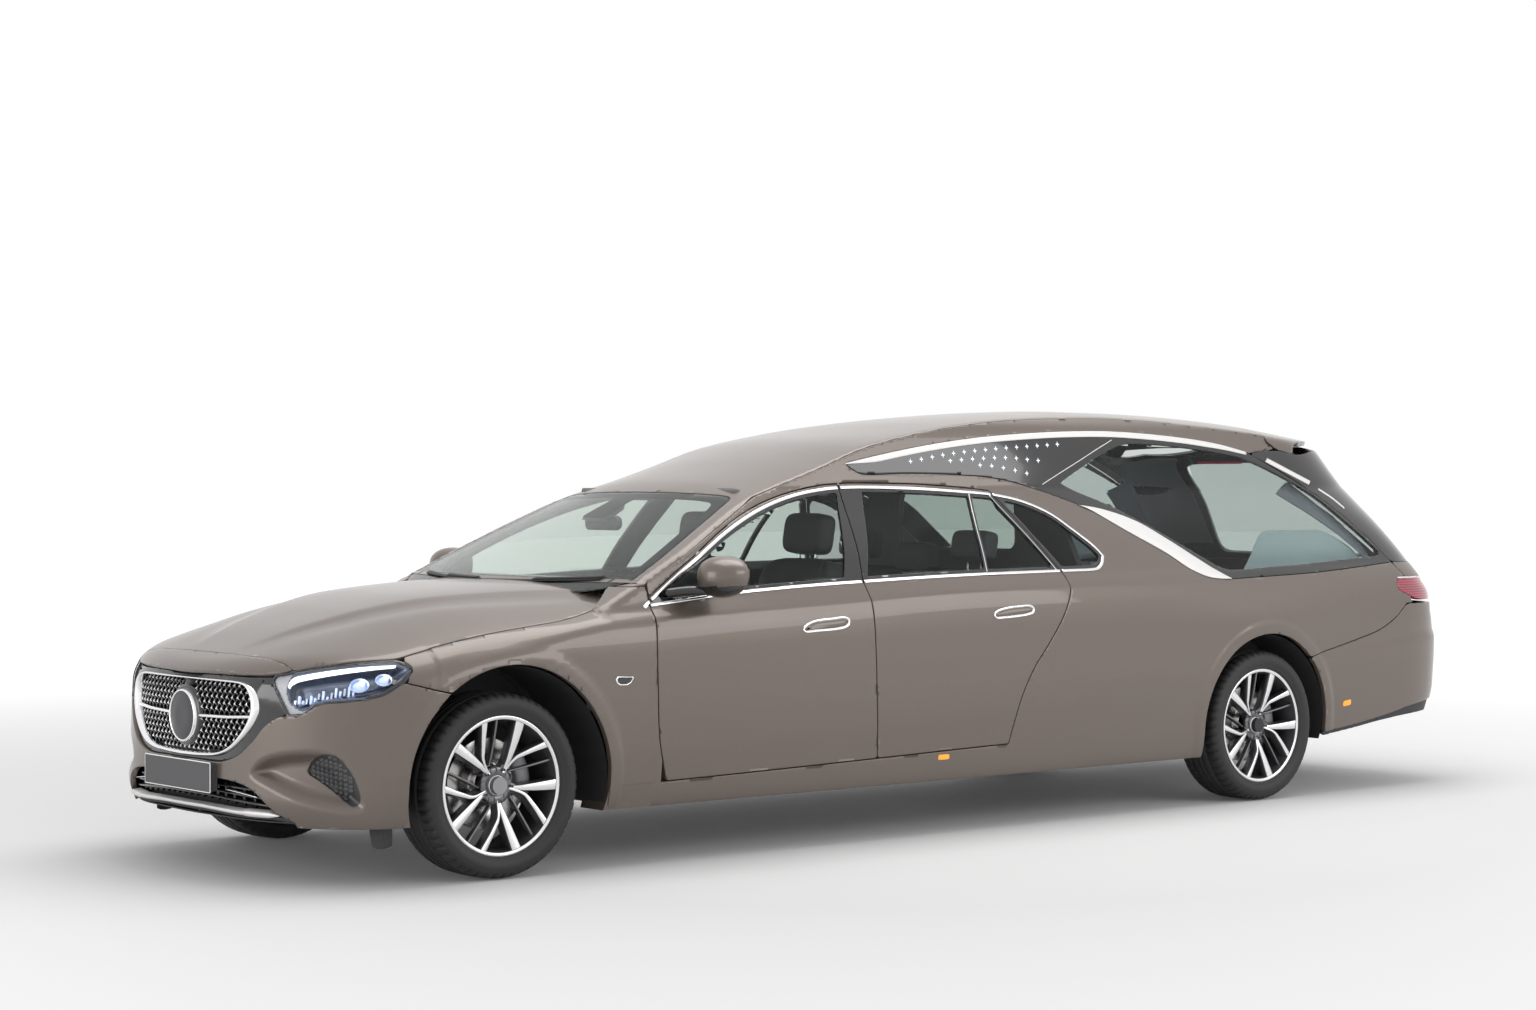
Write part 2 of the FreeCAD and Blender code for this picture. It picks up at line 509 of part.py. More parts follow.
WHEELS = [
    # name, axle station, wheel centre y, side (-1 is the car's left)
    ("front_left", "front_axle_x", "-front_wheel_y", -1), ("front_right", "front_axle_x", "front_wheel_y", 1),
    ("rear_left", "rear_axle_x", "-rear_wheel_y", -1), ("rear_right", "rear_axle_x", "rear_wheel_y", 1),
]
for name, x, y, side in WHEELS:
    z = "tyre_radius"
    tread = cross_cylinder("Tread_" + name, "tyre_radius", "tyre_width", x, y + " - tyre_width / 2", z)
    bore = cross_cylinder("Seat_" + name, "rim_radius", "tyre_width + 2", x, y + " - tyre_width / 2 - 1", z)
    ring = joined("Part::Cut", "TyreRing_" + name, [tread, bore])
    doc.recompute()
    tyre = doc.addObject("Part::Fillet", "Tyre_" + name)
    tyre.Base = ring
    shoulder = [i + 1 for i, e in enumerate(ring.Shape.Edges)
                if e.Curve.TypeId == "Part::GeomCircle" and e.Curve.Radius > size("tyre_radius") - 1]
    tyre.Edges = [(i, 30.0, 30.0) for i in shoulder]
    node(tyre, "tyre_" + name)

    face = "%s + (%d) * (rim_width / 2)" % (y, side)
    back = "%s - rim_width / 2" % y
    barrel = cross_cylinder("Barrel_" + name, "rim_radius - 0.5", "rim_width", x, back, z)
    hollow = cross_cylinder("BarrelHollow_" + name, "rim_radius - rim_barrel", "rim_width + 2", x, back + " - 1", z)
    rim_ring = joined("Part::Cut", "RimRing_" + name, [barrel, hollow])
    disc_y = "%s + (%d) * (rim_width / 2 - disc_set) - disc_thickness / 2" % (y, side)
    hub = cross_cylinder("Hub_" + name, "hub_radius", "disc_thickness", x, disc_y, z)
    spokes = []
    for index in range(int(size("spoke_count"))):
        for share, width in ((0.0, 46), (0.42, 26)):
            spoke = doc.addObject("Part::Box", "Spoke_%s_%d_%d" % (name, index, width))
            turn = 360.0 * (index + share) / size("spoke_count")
            spoke.Placement = FreeCAD.Placement(V(0, 0, 0), FreeCAD.Rotation(V(0, 1, 0), -turn))
            bind(spoke, Length="rim_radius - rim_barrel + 4 - hub_radius / 2", Width="disc_thickness")
            spoke.Height = width
            out = size("hub_radius") / 2
            cos, sin = math.cos(math.radians(turn)), math.sin(math.radians(turn))
            bind(spoke, at_x="%s + hub_radius / 2 * %.6f + %.3f" % (x, cos, sin * width / 2),
                 at_y=disc_y, at_z="%s + hub_radius / 2 * %.6f - %.3f" % (z, sin, cos * width / 2))
            spokes.append(spoke)
    solid = joined("Part::MultiFuse", "RimSolid_" + name, [rim_ring, hub] + spokes)
    centre = cross_cylinder("CentreBore_" + name, "centre_bore", "rim_width", x, back, z)
    node(joined("Part::Cut", "Rim_" + name, [solid, centre]), "rim_" + name)

    disc_in = "%s - (%d) * 20 - 14" % (y, side)
    rotor = cross_cylinder("Rotor_" + name, "rim_radius * 0.68", "28", x, disc_in, z)
    eye = cross_cylinder("RotorEye_" + name, "centre_bore", "30", x, disc_in + " - 1", z)
    node(joined("Part::Cut", "Brake_" + name, [rotor, eye]), "brake_disc_" + name)

for name, x, y, side in WHEELS[:2]:
    z = "tyre_radius"
    length = "front_wheel_y - kingpin_half + rim_width / 2 - disc_set + disc_thickness / 2"
    start = "-front_wheel_y - rim_width / 2 + disc_set - disc_thickness / 2" if side < 0 else "kingpin_half"
    stub = cross_cylinder("Stub_" + name, "centre_bore - 0.5", length, x, start, z)
    upright = doc.addObject("Part::Cylinder", "Upright_" + name)
    bind(upright, Radius="knuckle_radius", Height="tyre_radius + 100 - sill_height + 3", at_x=x,
         at_y="(%d) * kingpin_half" % side, at_z="sill_height - 3")
    eye = doc.addObject("Part::Cylinder", "BallEye_" + name)
    bind(eye, Radius="ball_radius + 0.05", Height="50", at_x=x, at_y="(%d) * kingpin_half" % side,
         at_z="sill_height - 13")
    whole = joined("Part::MultiFuse", "KnuckleWhole_" + name, [stub, upright])
    node(joined("Part::Cut", "Knuckle_" + name, [whole, eye]), "knuckle_" + name)

rear_parts = []
for name, x, y, side in WHEELS[2:]:
    start = "-rear_wheel_y - rim_width / 2 + disc_set - disc_thickness / 2" if side < 0 else "450"
    length = "rear_wheel_y - 450 + rim_width / 2 - disc_set + disc_thickness / 2"
    rear_parts.append(cross_cylinder("RearStub_" + name, "centre_bore - 0.5", length, x, start, "tyre_radius"))
rear_parts.append(box("RearBeam", "200", "1010", "90", "rear_axle_x - 100", "-505", "tyre_radius - 45"))
rear_parts.append(box("RearFrame", "600", "700", "60", "rear_axle_x - 420", "-350", "tyre_radius - 90"))
for i, (along, across) in enumerate(((-380, -300), (-380, 300), (140, -300), (140, 300))):
    post = doc.addObject("Part::Cylinder", "RearPost%d" % i)
    bind(post, Radius="30", Height="%.1f - (tyre_radius - 30)" % (kick_top - kick_wall),
         at_x="rear_axle_x + (%d)" % along, at_y="%d" % across, at_z="tyre_radius - 30")
    rear_parts.append(post)
node(joined("Part::MultiFuse", "RearAxle", rear_parts), "rear_axle")

front_parts = [box("CrossBeam", "420", "2 * front_house_half - 80", "60", "front_axle_x - 210",
                   "40 - front_house_half", "sill_height - 29")]
for name, x, y, side in WHEELS[:2]:
    start = "-kingpin_half - 30" if side < 0 else "front_house_half - 120"
    front_parts.append(box("Arm_" + name, "80", "kingpin_half - front_house_half + 150", "20",
                           "front_axle_x - 40", start, "sill_height - 29"))
    ball = doc.addObject("Part::Cylinder", "BallPin_" + name)
    bind(ball, Radius="ball_radius", Height="45", at_x=x, at_y="(%d) * kingpin_half" % side, at_z="sill_height - 12")
    front_parts.append(ball)
node(joined("Part::MultiFuse", "FrontSubframe", front_parts), "front_subframe")

# ---------------------------------------------------------------- engine, cabin and load space
node(box("Engine", "engine_length", "engine_width", "engine_height", "front_axle_x - 300", "-engine_width / 2",
         "sill_height + 31"), "engine")

SEAT_Y = 370
seats = []
for tag, at in (("Left", -SEAT_Y), ("Right", SEAT_Y)):
    seats.append(box("Cushion" + tag, "seat_length", "seat_width", "seat_height + 60", "front_axle_x + 1330",
                     "%d - seat_width / 2" % at, "seat_base - 20"))
    seats.append(box("Back" + tag, "back_thickness", "seat_width", "back_height", "front_axle_x + 1800",
                     "%d - seat_width / 2" % at, "seat_base + 40"))
    seats.append(box("Rest" + tag, "90", "260", "190", "front_axle_x + 1825", "%d - 130" % at,
                     "seat_base + 40 + back_height - 2"))
node(joined("Part::MultiFuse", "FrontSeats", seats), "front_seats")
bench = [box("BenchCushion", "seat_length", "1240", "seat_height + 60", "front_axle_x + 2420", "-620",
             "seat_base - 20"),
         box("BenchBack", "back_thickness", "1240", "back_height", "front_axle_x + 2880", "-620",
             "seat_base + 40")]
for tag, at in (("Left", -SEAT_Y), ("Right", SEAT_Y)):
    bench.append(box("BenchRest" + tag, "90", "260", "160", "front_axle_x + 2900", "%d - 130" % at,
                     "seat_base + 38 + back_height"))
node(joined("Part::MultiFuse", "RearSeats", bench), "rear_seats")
dash = box("DashBlock", "370", "1380", "210", "front_axle_x + 600", "-690", "760")
node(dash, "dashboard")
ring = doc.addObject("Part::Torus", "SteeringRing")
bind(ring, Radius1="steering_wheel_radius", Radius2="steering_rim_radius")
ring.Placement = FreeCAD.Placement(V(0, 0, 0), FreeCAD.Rotation(V(0, 1, 0), 68))
bind(ring, at_x="front_axle_x + 1130", at_y="-%d" % SEAT_Y, at_z="900")
boss = doc.addObject("Part::Cylinder", "SteeringBoss")
boss.Placement = FreeCAD.Placement(V(0, 0, 0), FreeCAD.Rotation(V(0, 1, 0), -112))
bind(boss, Radius="45", Height="160", at_x="front_axle_x + 1150", at_y="-%d" % SEAT_Y, at_z="908")
bar = box("SteeringBar", "30", "2 * steering_wheel_radius", "30", "front_axle_x + 1115",
          "-%d - steering_wheel_radius" % SEAT_Y, "885")
column = box("SteeringColumn", "60", "64", "70", "front_axle_x + 970", "-%d - 32" % SEAT_Y, "820")
node(joined("Part::MultiFuse", "SteeringWheel", [ring, boss, bar, column]), "steering_wheel")

deck_parts = [box("DeckPlate", "deck_length", "2 * deck_half_width", "deck_thickness",
                  "front_axle_x + deck_start", "-deck_half_width", "deck_height - deck_thickness")]
for tag, at in (("Left", "-deck_half_width"), ("Right", "deck_half_width - 40")):
    deck_parts.append(box("DeckWall" + tag, "deck_length", "40", "deck_height - tyre_radius - 160 - 1",
                          "front_axle_x + deck_start", at, "tyre_radius + 160"))
deck = joined("Part::MultiFuse", "DeckBody", deck_parts)
pins = []
for i, (sx, sy) in enumerate(((-1, -1), (-1, 1), (1, -1), (1, 1))):
    pin = doc.addObject("Part::Cylinder", "BierHole%d" % i)
    bind(pin, Radius="bier_hole_radius", Height="deck_thickness + 2",
         at_x="front_axle_x + deck_start + deck_length / 2 + (%d) * bier_spacing_long / 2" % sx,
         at_y="(%d) * bier_spacing_wide / 2" % sy, at_z="deck_height - deck_thickness - 1")
    pins.append(pin)
holes = joined("Part::MultiFuse", "BierHoles", pins)
node(joined("Part::Cut", "Deck", [deck, holes]), "coffin_deck")
lining = wall + 12
inner_form = plan_loft(UPPER, belt, roof, lining, 2.4 * lining, 1.4 * lining).common(crown_loft(ROOF_CROWN, lining))
curtain = inner_form.fuse(block(front_axle + 3000, front_axle + 3500, -700, 700, deck_z + 4, belt))
add("partition", curtain.common(block(front_axle + 3180, front_axle + 3180 + size("partition_thickness"),
                                      -BIG, BIG, deck_z + 4, roof)))

# ---------------------------------------------------------------- mirrors, plate and exhaust
hull = doc.addObject("Part::Feature", "OuterForm")
hull.Shape = outer
for tag, side in (("left", -1), ("right", 1)):
    cap = doc.addObject("Part::Ellipsoid", "MirrorCap_" + tag)
    cap.Radius1, cap.Radius2, cap.Radius3 = 72, 85, 120
    bind(cap, at_x="front_axle_x + 1010", at_y="(%d) * 985" % side, at_z="1105")
    foot = box("MirrorFoot_" + tag, "110", "100", "34", "front_axle_x + 900", "(%d) * 905 - 50" % side, "1020")
    arm = box("MirrorArm_" + tag, "70", "44", "80", "front_axle_x + 950", "(%d) * 925 - 22" % side, "1030")
    whole = joined("Part::MultiFuse", "MirrorWhole_" + tag, [cap, foot, arm])
    node(joined("Part::Cut", "Mirror_" + tag, [whole, hull]), "mirror_" + tag)
node(box("Plate", "12", "520", "112", "front_axle_x - front_overhang", "-260", "327"), "front_plate")
pipe = [box("Silencer", "520", "220", "110", "front_axle_x + 2450", "-110", "sill_height - 85")]
run = doc.addObject("Part::Cylinder", "ExhaustPipe")
run.Placement = FreeCAD.Placement(V(0, 0, 0), FreeCAD.Rotation(V(0, 1, 0), 90))
bind(run, Radius="28", Height="2500", at_x="front_axle_x + 400", at_y="0", at_z="sill_height - 35")
node(joined("Part::MultiFuse", "Exhaust", [run] + pipe), "exhaust")
doc.recompute()

for node in nodes:
    print("%-18s solids %d volume %.4f valid %s" % (
        node.Label, len(node.Shape.Solids), node.Shape.Volume / 1e9, node.Shape.isValid()))
doc.recompute()

bad = [o.Name for o in doc.Objects if "Invalid" in o.State or "Error" in o.State]
for node in nodes:
    if node.Shape.isNull() or not node.Shape.isValid():
        bad.append(node.Label)
if bad:
    raise RuntimeError("failed: " + ", ".join(bad))
os.makedirs("parts", exist_ok=True)
for node in nodes:
    node.Shape.exportStep("parts/%s.step" % node.Label)
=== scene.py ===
import math
import bmesh
import bpy
import numpy as np
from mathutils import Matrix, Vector


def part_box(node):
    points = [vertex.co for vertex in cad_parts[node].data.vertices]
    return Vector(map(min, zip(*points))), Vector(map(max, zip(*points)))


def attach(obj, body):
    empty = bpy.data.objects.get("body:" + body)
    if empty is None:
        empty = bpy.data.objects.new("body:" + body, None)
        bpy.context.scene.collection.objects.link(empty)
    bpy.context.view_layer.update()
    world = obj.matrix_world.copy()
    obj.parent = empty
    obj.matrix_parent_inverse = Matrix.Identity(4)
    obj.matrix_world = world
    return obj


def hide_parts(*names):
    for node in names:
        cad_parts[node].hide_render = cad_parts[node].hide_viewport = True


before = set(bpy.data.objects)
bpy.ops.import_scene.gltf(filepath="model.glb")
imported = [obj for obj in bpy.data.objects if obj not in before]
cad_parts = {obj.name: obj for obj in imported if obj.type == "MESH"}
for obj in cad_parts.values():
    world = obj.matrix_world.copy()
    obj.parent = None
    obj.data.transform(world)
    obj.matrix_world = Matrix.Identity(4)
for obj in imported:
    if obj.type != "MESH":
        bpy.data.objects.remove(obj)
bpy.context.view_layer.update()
wheel_low, wheel_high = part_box("tyre_front_left")
front_axle = (wheel_low[0] + wheel_high[0]) / 2


# ---- Body form
# The pressed steel body of a long funeral estate. Its skin is one flowing surface from nose to tail,
# so every panel is cut from the same form. Stations are millimetres rearward from the front axle.
def smooth(x, xs, ys):
    """A curve through points that never swings past them."""
    x, xs, ys = np.asarray(x, float), np.asarray(xs, float), np.asarray(ys, float)
    run = np.diff(xs)
    rise = np.diff(ys) / run
    slope = np.zeros(len(xs))
    same = rise[:-1] * rise[1:] > 0
    w1, w2 = 2 * run[1:] + run[:-1], run[1:] + 2 * run[:-1]
    mid = np.zeros(len(rise) - 1)
    mid[same] = (w1 + w2)[same] / (w1[same] / rise[:-1][same] + w2[same] / rise[1:][same])
    slope[1:-1] = mid
    slope[0], slope[-1] = rise[0], rise[-1]
    k = np.clip(np.searchsorted(xs, x) - 1, 0, len(run) - 1)
    u = np.clip((x - xs[k]) / run[k], 0, 1)
    a, b = ys[k], ys[k + 1]
    return (a * (1 + 2 * u) * (1 - u) ** 2 + b * u * u * (3 - 2 * u)
            + run[k] * (slope[k] * u * (1 - u) ** 2 - slope[k + 1] * u * u * (1 - u)))


def circle(count):
    """Evenly spread angles of one whole turn."""
    return np.arange(count) * 2 * math.pi / count


def column(table, at, k=1):
    """One column of a table at some stations, which its first column gives."""
    return smooth(at, [row[0] for row in table], [row[k] for row in table])


def ease(x, low, high):
    u = np.clip((x - low) / (high - low), 0, 1)
    return u * u * (3 - 2 * u)


def blend_max(a, b, r):
    """The larger of two distances, with the edge between them rounded."""
    share = np.clip(0.5 + 0.5 * (a - b) / r, 0, 1)
    return b + (a - b) * share + r * share * (1 - share)


LOWER_CREASE = ((-900, 400), (430, 424), (724, 443), (1230, 459), (1855, 481), (2634, 514), (3296, 543),
                (5600, 570))
SHOULDER = ((-900, 860), (-400, 895), (0, 920), (345, 940), (699, 956), (1065, 975), (1450, 988),
            (1836, 1003),
            (2303, 1022), (3060, 1032), (3592, 1035), (5600, 1035))
BELT = ((-900, 960), (300, 985), (698, 1003), (1088, 1040), (1869, 1077), (3013, 1099), (3225, 1100),
        (5600, 1100))
SIDE_PROFILE = (
    ((200, 884), (222, 899), (240, 907), (280, 917), (325, 924), (400, 931), (480, 937)),
    ((480, 937), (600, 940.5), (700, 942), (850, 938), (930, 929.5), (990, 915)),
    ((990, 915), (1040, 890), (1085, 867), (1200, 812), (1300, 750), (1400, 680), (1475, 630)),
    ((1475, 630), (1530, 620), (1600, 608), (1700, 585), (1750, 566), (1800, 515), (1860, 420)),
)
NOSE = (  # height, nose at the middle, where the side starts
    (200, -840, -410), (225, -856, -400), (330, -893, -370), (496, -891, -330), (715, -885, -300),
    (859, -868, -280), (942, -850, -260), (1008, -820, -240), (1100, -790, -200))
TAIL = (  # height, where the side ends, tail at the middle
    (200, 5220, 5720), (225, 5236, 5746), (330, 5306, 5806), (496, 5346, 5857), (715, 5356, 5857),
    (859, 5346, 5816),
    (942, 5336, 5810), (1008, 5321, 5756), (1100, 5296, 5700), (1184, 5250, 5648), (1298, 5166, 5574),
    (1438, 4996, 5494), (1600, 4806, 5356), (1703, 4736, 5266), (1850, 4656, 5186))
HOOD = (  # station, height at the middle, height near the edge
    (-930, 745, 560), (-880, 784, 610), (-780, 832, 690), (-673, 873, 735), (-546, 918, 772),
    (-400, 962, 805),
    (-245, 1005, 838), (0, 1052, 880), (345, 1082, 925), (560, 1096, 955), (760, 1105, 985))
ROOF = (  # station, height at the middle, height at the rail, half width at the rail
    (600, 1262, 1180, 800), (943, 1345, 1243, 783), (1290, 1452, 1400, 668), (1372, 1484, 1424, 645),
    (1640, 1560, 1500, 620), (1831, 1614, 1560, 608), (2107, 1684, 1650, 591), (2384, 1728, 1706, 579),
    (2669, 1772, 1748, 571), (2983, 1804, 1777, 548), (3296, 1825, 1791, 530), (3602, 1835, 1796, 520),
    (3903, 1833, 1789, 525), (4144, 1829, 1772, 546), (4700, 1800, 1728, 560), (5200, 1742, 1664, 560),
    (5600, 1690, 1600, 560))
SCREEN = (  # height, windscreen at the middle, how fast it sweeps back toward the sides
    (1000, 330, 2.28e-4), (1070, 480, 2.28e-4), (1184, 723, 2.35e-4), (1284, 936, 2.5e-4),
    (1379, 1139, 2.9e-4),
    (1438, 1262, 3.3e-4), (1520, 1440, 3.6e-4), (1700, 1830, 3.6e-4))
ARCHES = ((35, 352, 457), (4333, 352, 432))  # station, height and radius of each wheel arch


# heights in the side profile: lower crease, flank, shoulder, belt, open glass and roof rail
CREASE_AT, FLANK_AT, SHOULDER_AT, BELT_AT, OPEN_AT, RAIL_AT = 480, 700, 990, 1085, 1200, 1475


def side_half(x, z):
    """Half width of the body side at a station and a height."""
    x, z = np.broadcast_arrays(np.asarray(x, float), np.asarray(z, float))
    low = column(LOWER_CREASE, x)
    shoulder = column(SHOULDER, x)
    belt = column(BELT, x)
    level = np.where(z < low, z + (CREASE_AT - low) * ease(z, 200, CREASE_AT),
                     np.where(z < FLANK_AT, CREASE_AT + (z - low) * (FLANK_AT - CREASE_AT) / (FLANK_AT - low),
                              z))
    for low_z, high_z, low_at, high_at in ((FLANK_AT, shoulder, FLANK_AT, SHOULDER_AT),
                                           (shoulder, belt, SHOULDER_AT, BELT_AT),
                                           (belt, OPEN_AT, BELT_AT, OPEN_AT)):
        level = np.where((z >= low_z) & (z < high_z),
                         low_at + (z - low_z) * (high_at - low_at) / (high_z - low_z), level)
    creased = np.zeros_like(level)
    for low_at, high_at, part in zip((0, CREASE_AT, SHOULDER_AT, RAIL_AT),
                                     (CREASE_AT, SHOULDER_AT, RAIL_AT, 9999), SIDE_PROFILE):
        hit = (level >= low_at) & (level < high_at)
        creased[hit] = column(part, level[hit])
    whole = [p for p in SIDE_PROFILE[0] + SIDE_PROFILE[1] + SIDE_PROFILE[2]
             if p[0] not in (CREASE_AT, SHOULDER_AT)]
    soft = column(whole, level)
    fade = np.clip(ease(x, 2900, 3700) + ease(-x, -250, 150), 0, 1) * (level < 1300)
    half = creased * (1 - fade) + soft * fade
    # the body narrows a little to both ends, and swells over the wheels
    half = half - 9 * ((x - 2300) / 2600) ** 2 * (np.abs(x - 2300) < 3600)
    for (station, height, radius), swell, reach in ((ARCHES[0], 9, 380), (ARCHES[1], 15, 470)):
        from_edge = np.hypot(x - station, z - height) - radius
        above = ease(z, height - 250, height)
        flange = 7 * (1 - ease(from_edge, 46, 66)) * above
        near = np.exp(-(((x - station) / reach) ** 2))
        haunch = swell * near * np.exp(-(((z - height - radius - 60) / 95) ** 2))
        hollow = -0.5 * swell * near * np.exp(-(((z - height - radius - 245) / 55) ** 2))
        half = half + flange * (from_edge < 80) + haunch + hollow
    return half


def around(x, y, z):
    """Distance outside the body in plan: nose, sides and tail."""
    nose = column(NOSE, z)
    start = column(NOSE, z, 2)
    end = column(TAIL, z)
    tail = column(TAIL, z, 2)
    half = side_half(x, z)
    out = np.abs(y) / half
    ahead = np.clip((start - x) / (start - nose), 0, None)
    behind = np.clip((x - end) / (tail - end), 0, None)
    flat = (out - 1) * half
    front = ((ahead ** 2 + out ** 2.1) ** (1 / 2.05) - 1) * (start - nose)
    rear = ((behind ** 2.8 + out ** 4.5) ** (1 / 3.5) - 1) * (tail - end)
    return np.where(ahead > 0, front, np.where(behind > 0, rear, flat))


def hood_top(x, y):
    middle = column(HOOD, x)
    edge = column(HOOD, x, 2)
    top = middle - (middle - edge) * np.abs(y / 930) ** 3.1
    # two soft ridges run from the nose to the windscreen corners
    ridge = smooth(x, (-900, -620, -100, 600), (120, 215, 395, 600))
    rise = 9 * ease(x, -780, -400) * (1 - 0.5 * ease(x, 300, 650))
    top = top + rise * (1 - ease(np.abs(y), ridge - 26, ridge + 34))
    return top - 5 * ease(x, -780, -300) * np.exp(-(((np.abs(y) - ridge - 85) / 60) ** 2))


def roof_top(x, y):
    middle, rail, half = (column(ROOF, x, k) for k in (1, 2, 3))
    return middle - (middle - rail) * np.abs(y / half) ** 2.3


def screen_face(y, z):
    return column(SCREEN, z) + column(SCREEN, z, 2) * y * y


def front_form(x, y, z):
    """Distance outside the front of the body: nose, wings and hood."""
    round_edge = 16 + 70 * (1 - ease(x, -150, 420))
    return blend_max(around(x, y, z), z - hood_top(x, y), round_edge)


def cabin_form(x, y, z):
    """Distance outside the cabin: sides, windscreen and roof."""
    sides = around(x, y, z)
    sides = blend_max(sides, (screen_face(y, z) - x) * 0.75, 26)
    return blend_max(sides, z - roof_top(x, y), 22)


def tail_form(x, y, z):
    return blend_max(around(x, y, z), z - roof_top(x, y), 22)


def spread(*spans):
    """An even grid over two spans, each a low end, a high end and a count."""
    return np.meshgrid(*(np.linspace(*span) for span in spans), indexing="ij")


def by_step(low, high, step):
    return low, high, max(2, int((high - low) / step))


def cast(form, start, way, reach=1700.0, inset=0.0):
    """Where rays from inside the body come to a depth below it: halving the step, for all rays at once."""
    start, way = np.broadcast_arrays(np.asarray(start, float), way)
    near, far = np.zeros(start.shape[:-1]), np.full(start.shape[:-1], float(reach))
    for _ in range(15):
        middle = (near + far) / 2
        inside = form(*np.moveaxis(start + way * middle[..., None], -1, 0)) + inset < 0
        near, far = np.where(inside, middle, near), np.where(inside, far, middle)
    return start + way * ((near + far) / 2)[..., None]


def arc_way(s, t, arc, ahead):
    """Directions to places on an arc of some radius, s round to the left and t up from its middle."""
    return np.stack([ahead * np.cos(s / arc) * np.cos(t / arc), -np.sin(s / arc) * np.cos(t / arc),
                     np.sin(t / arc)], -1)


OVER = (0.02, math.pi - 0.02)  # leans from just above level on the left, over the top, to the right


def hoops(form, stations, leans, height, reach, inset=0.0):
    """Points met by rays from the middle plane at some height. A lean of zero is level to the left."""
    x, lean = spread(stations, leans)
    flat = np.zeros_like(x)
    return cast(form, np.stack([x, flat, flat + height], -1),
                np.stack([flat, -np.cos(lean), np.sin(lean)], -1), reach, inset)


# ---- Body sides
# Sills, rear quarter panels and roof rails are one steel side pressing, welded to the floor and painted
# metallic bronze under clear lacquer. Each shut face turns inward behind a narrow gap.
def shader(name, color, rough, metal=0.0, **more):
    """A material with its Principled shader. Numbers that stay the same are set on its own sockets."""
    made = bpy.data.materials.new(name)
    made.use_nodes = True
    bsdf = made.node_tree.nodes["Principled BSDF"]
    bsdf.inputs["Base Color"].default_value = (*color, 1)
    bsdf.inputs["Roughness"].default_value = rough
    bsdf.inputs["Metallic"].default_value = metal
    for socket, value in more.items():
        bsdf.inputs[socket.replace("_", " ")].default_value = value
    return made


def effect_group(name, inputs, outputs):
    group = bpy.data.node_groups.new(name, "ShaderNodeTree")
    for label, kind, value in inputs:
        socket = group.interface.new_socket(label, in_out="INPUT", socket_type=kind)
        if value is not None:
            socket.default_value = value
    for label, kind in outputs:
        group.interface.new_socket(label, in_out="OUTPUT", socket_type=kind)
    return group, group.nodes.new("NodeGroupInput"), group.nodes.new("NodeGroupOutput")


def node(tree, kind, values=None, **settings):
    made = tree.nodes.new(kind)
    for key, value in settings.items():
        setattr(made, key, value)
    for key, value in (values or {}).items():
        made.inputs[key].default_value = value
    return made


def wire(tree, source, out, target, socket):
    tree.links.new(source.outputs[out], target.inputs[socket])


# Metal flake: tiny cells that each tilt the colour and the normal a little, under the lacquer.
flake, flake_in, flake_out = effect_group(
    "metal_flake", (("Color", "NodeSocketColor", (0.5, 0.5, 0.5, 1)), ("Scale", "NodeSocketFloat", 900.0),
                    ("Spread", "NodeSocketFloat", 0.12), ("Tilt", "NodeSocketFloat", 0.05)),
    (("Color", "NodeSocketColor"), ("Roughness", "NodeSocketFloat"), ("Normal", "NodeSocketVector")))
flake_at = node(flake, "ShaderNodeTexCoord")
flake_cells = node(flake, "ShaderNodeTexVoronoi", feature="F1")
wire(flake, flake_at, "Object", flake_cells, "Vector")
wire(flake, flake_in, "Scale", flake_cells, "Scale")
flake_gray = node(flake, "ShaderNodeRGBToBW")
wire(flake, flake_cells, "Color", flake_gray, 0)
flake_swing = node(flake, "ShaderNodeMapRange", {"To Min": -1.0, "To Max": 1.0})
wire(flake, flake_gray, 0, flake_swing, "Value")
flake_light = node(flake, "ShaderNodeMath", {1: 1.0}, operation="MULTIPLY_ADD")
wire(flake, flake_swing, 0, flake_light, 0)
wire(flake, flake_in, "Spread", flake_light, 1)
flake_light.inputs[2].default_value = 1.0
flake_tint = node(flake, "ShaderNodeMix", {"Factor": 1.0}, data_type="RGBA", blend_type="MULTIPLY")
wire(flake, flake_in, "Color", flake_tint, "A")
wire(flake, flake_light, 0, flake_tint, "B")
wire(flake, flake_tint, "Result", flake_out, "Color")
flake_cloud = node(flake, "ShaderNodeTexNoise", {"Scale": 3.0, "Detail": 2.0})
wire(flake, flake_at, "Object", flake_cloud, "Vector")
flake_rough = node(flake, "ShaderNodeMapRange", {"To Min": 0.36, "To Max": 0.44})
wire(flake, flake_cloud, "Fac", flake_rough, "Value")
wire(flake, flake_rough, 0, flake_out, "Roughness")
flake_bump = node(flake, "ShaderNodeBump", {"Distance": 0.0004})
wire(flake, flake_in, "Tilt", flake_bump, "Strength")
wire(flake, flake_gray, 0, flake_bump, "Height")
wire(flake, flake_bump, 0, flake_out, "Normal")

BRONZE = (0.165, 0.133, 0.114)
paint = shader("bronze_lacquer", BRONZE, 0.4, 0.45, Coat_Weight=0.6, Coat_Roughness=0.04,
               Coat_IOR=1.5)
paint_flake = node(paint.node_tree, "ShaderNodeGroup", node_tree=flake)
paint_flake.inputs["Color"].default_value = (*BRONZE, 1)
for out, socket in (("Color", "Base Color"), ("Roughness", "Roughness"), ("Normal", "Normal")):
    wire(paint.node_tree, paint_flake, out, paint.node_tree.nodes["Principled BSDF"], socket)


def place(points):
    """Millimetres from the front axle to metres in the car's frame."""
    return np.asarray(points, float) * 0.001 + (front_axle, 0, 0)


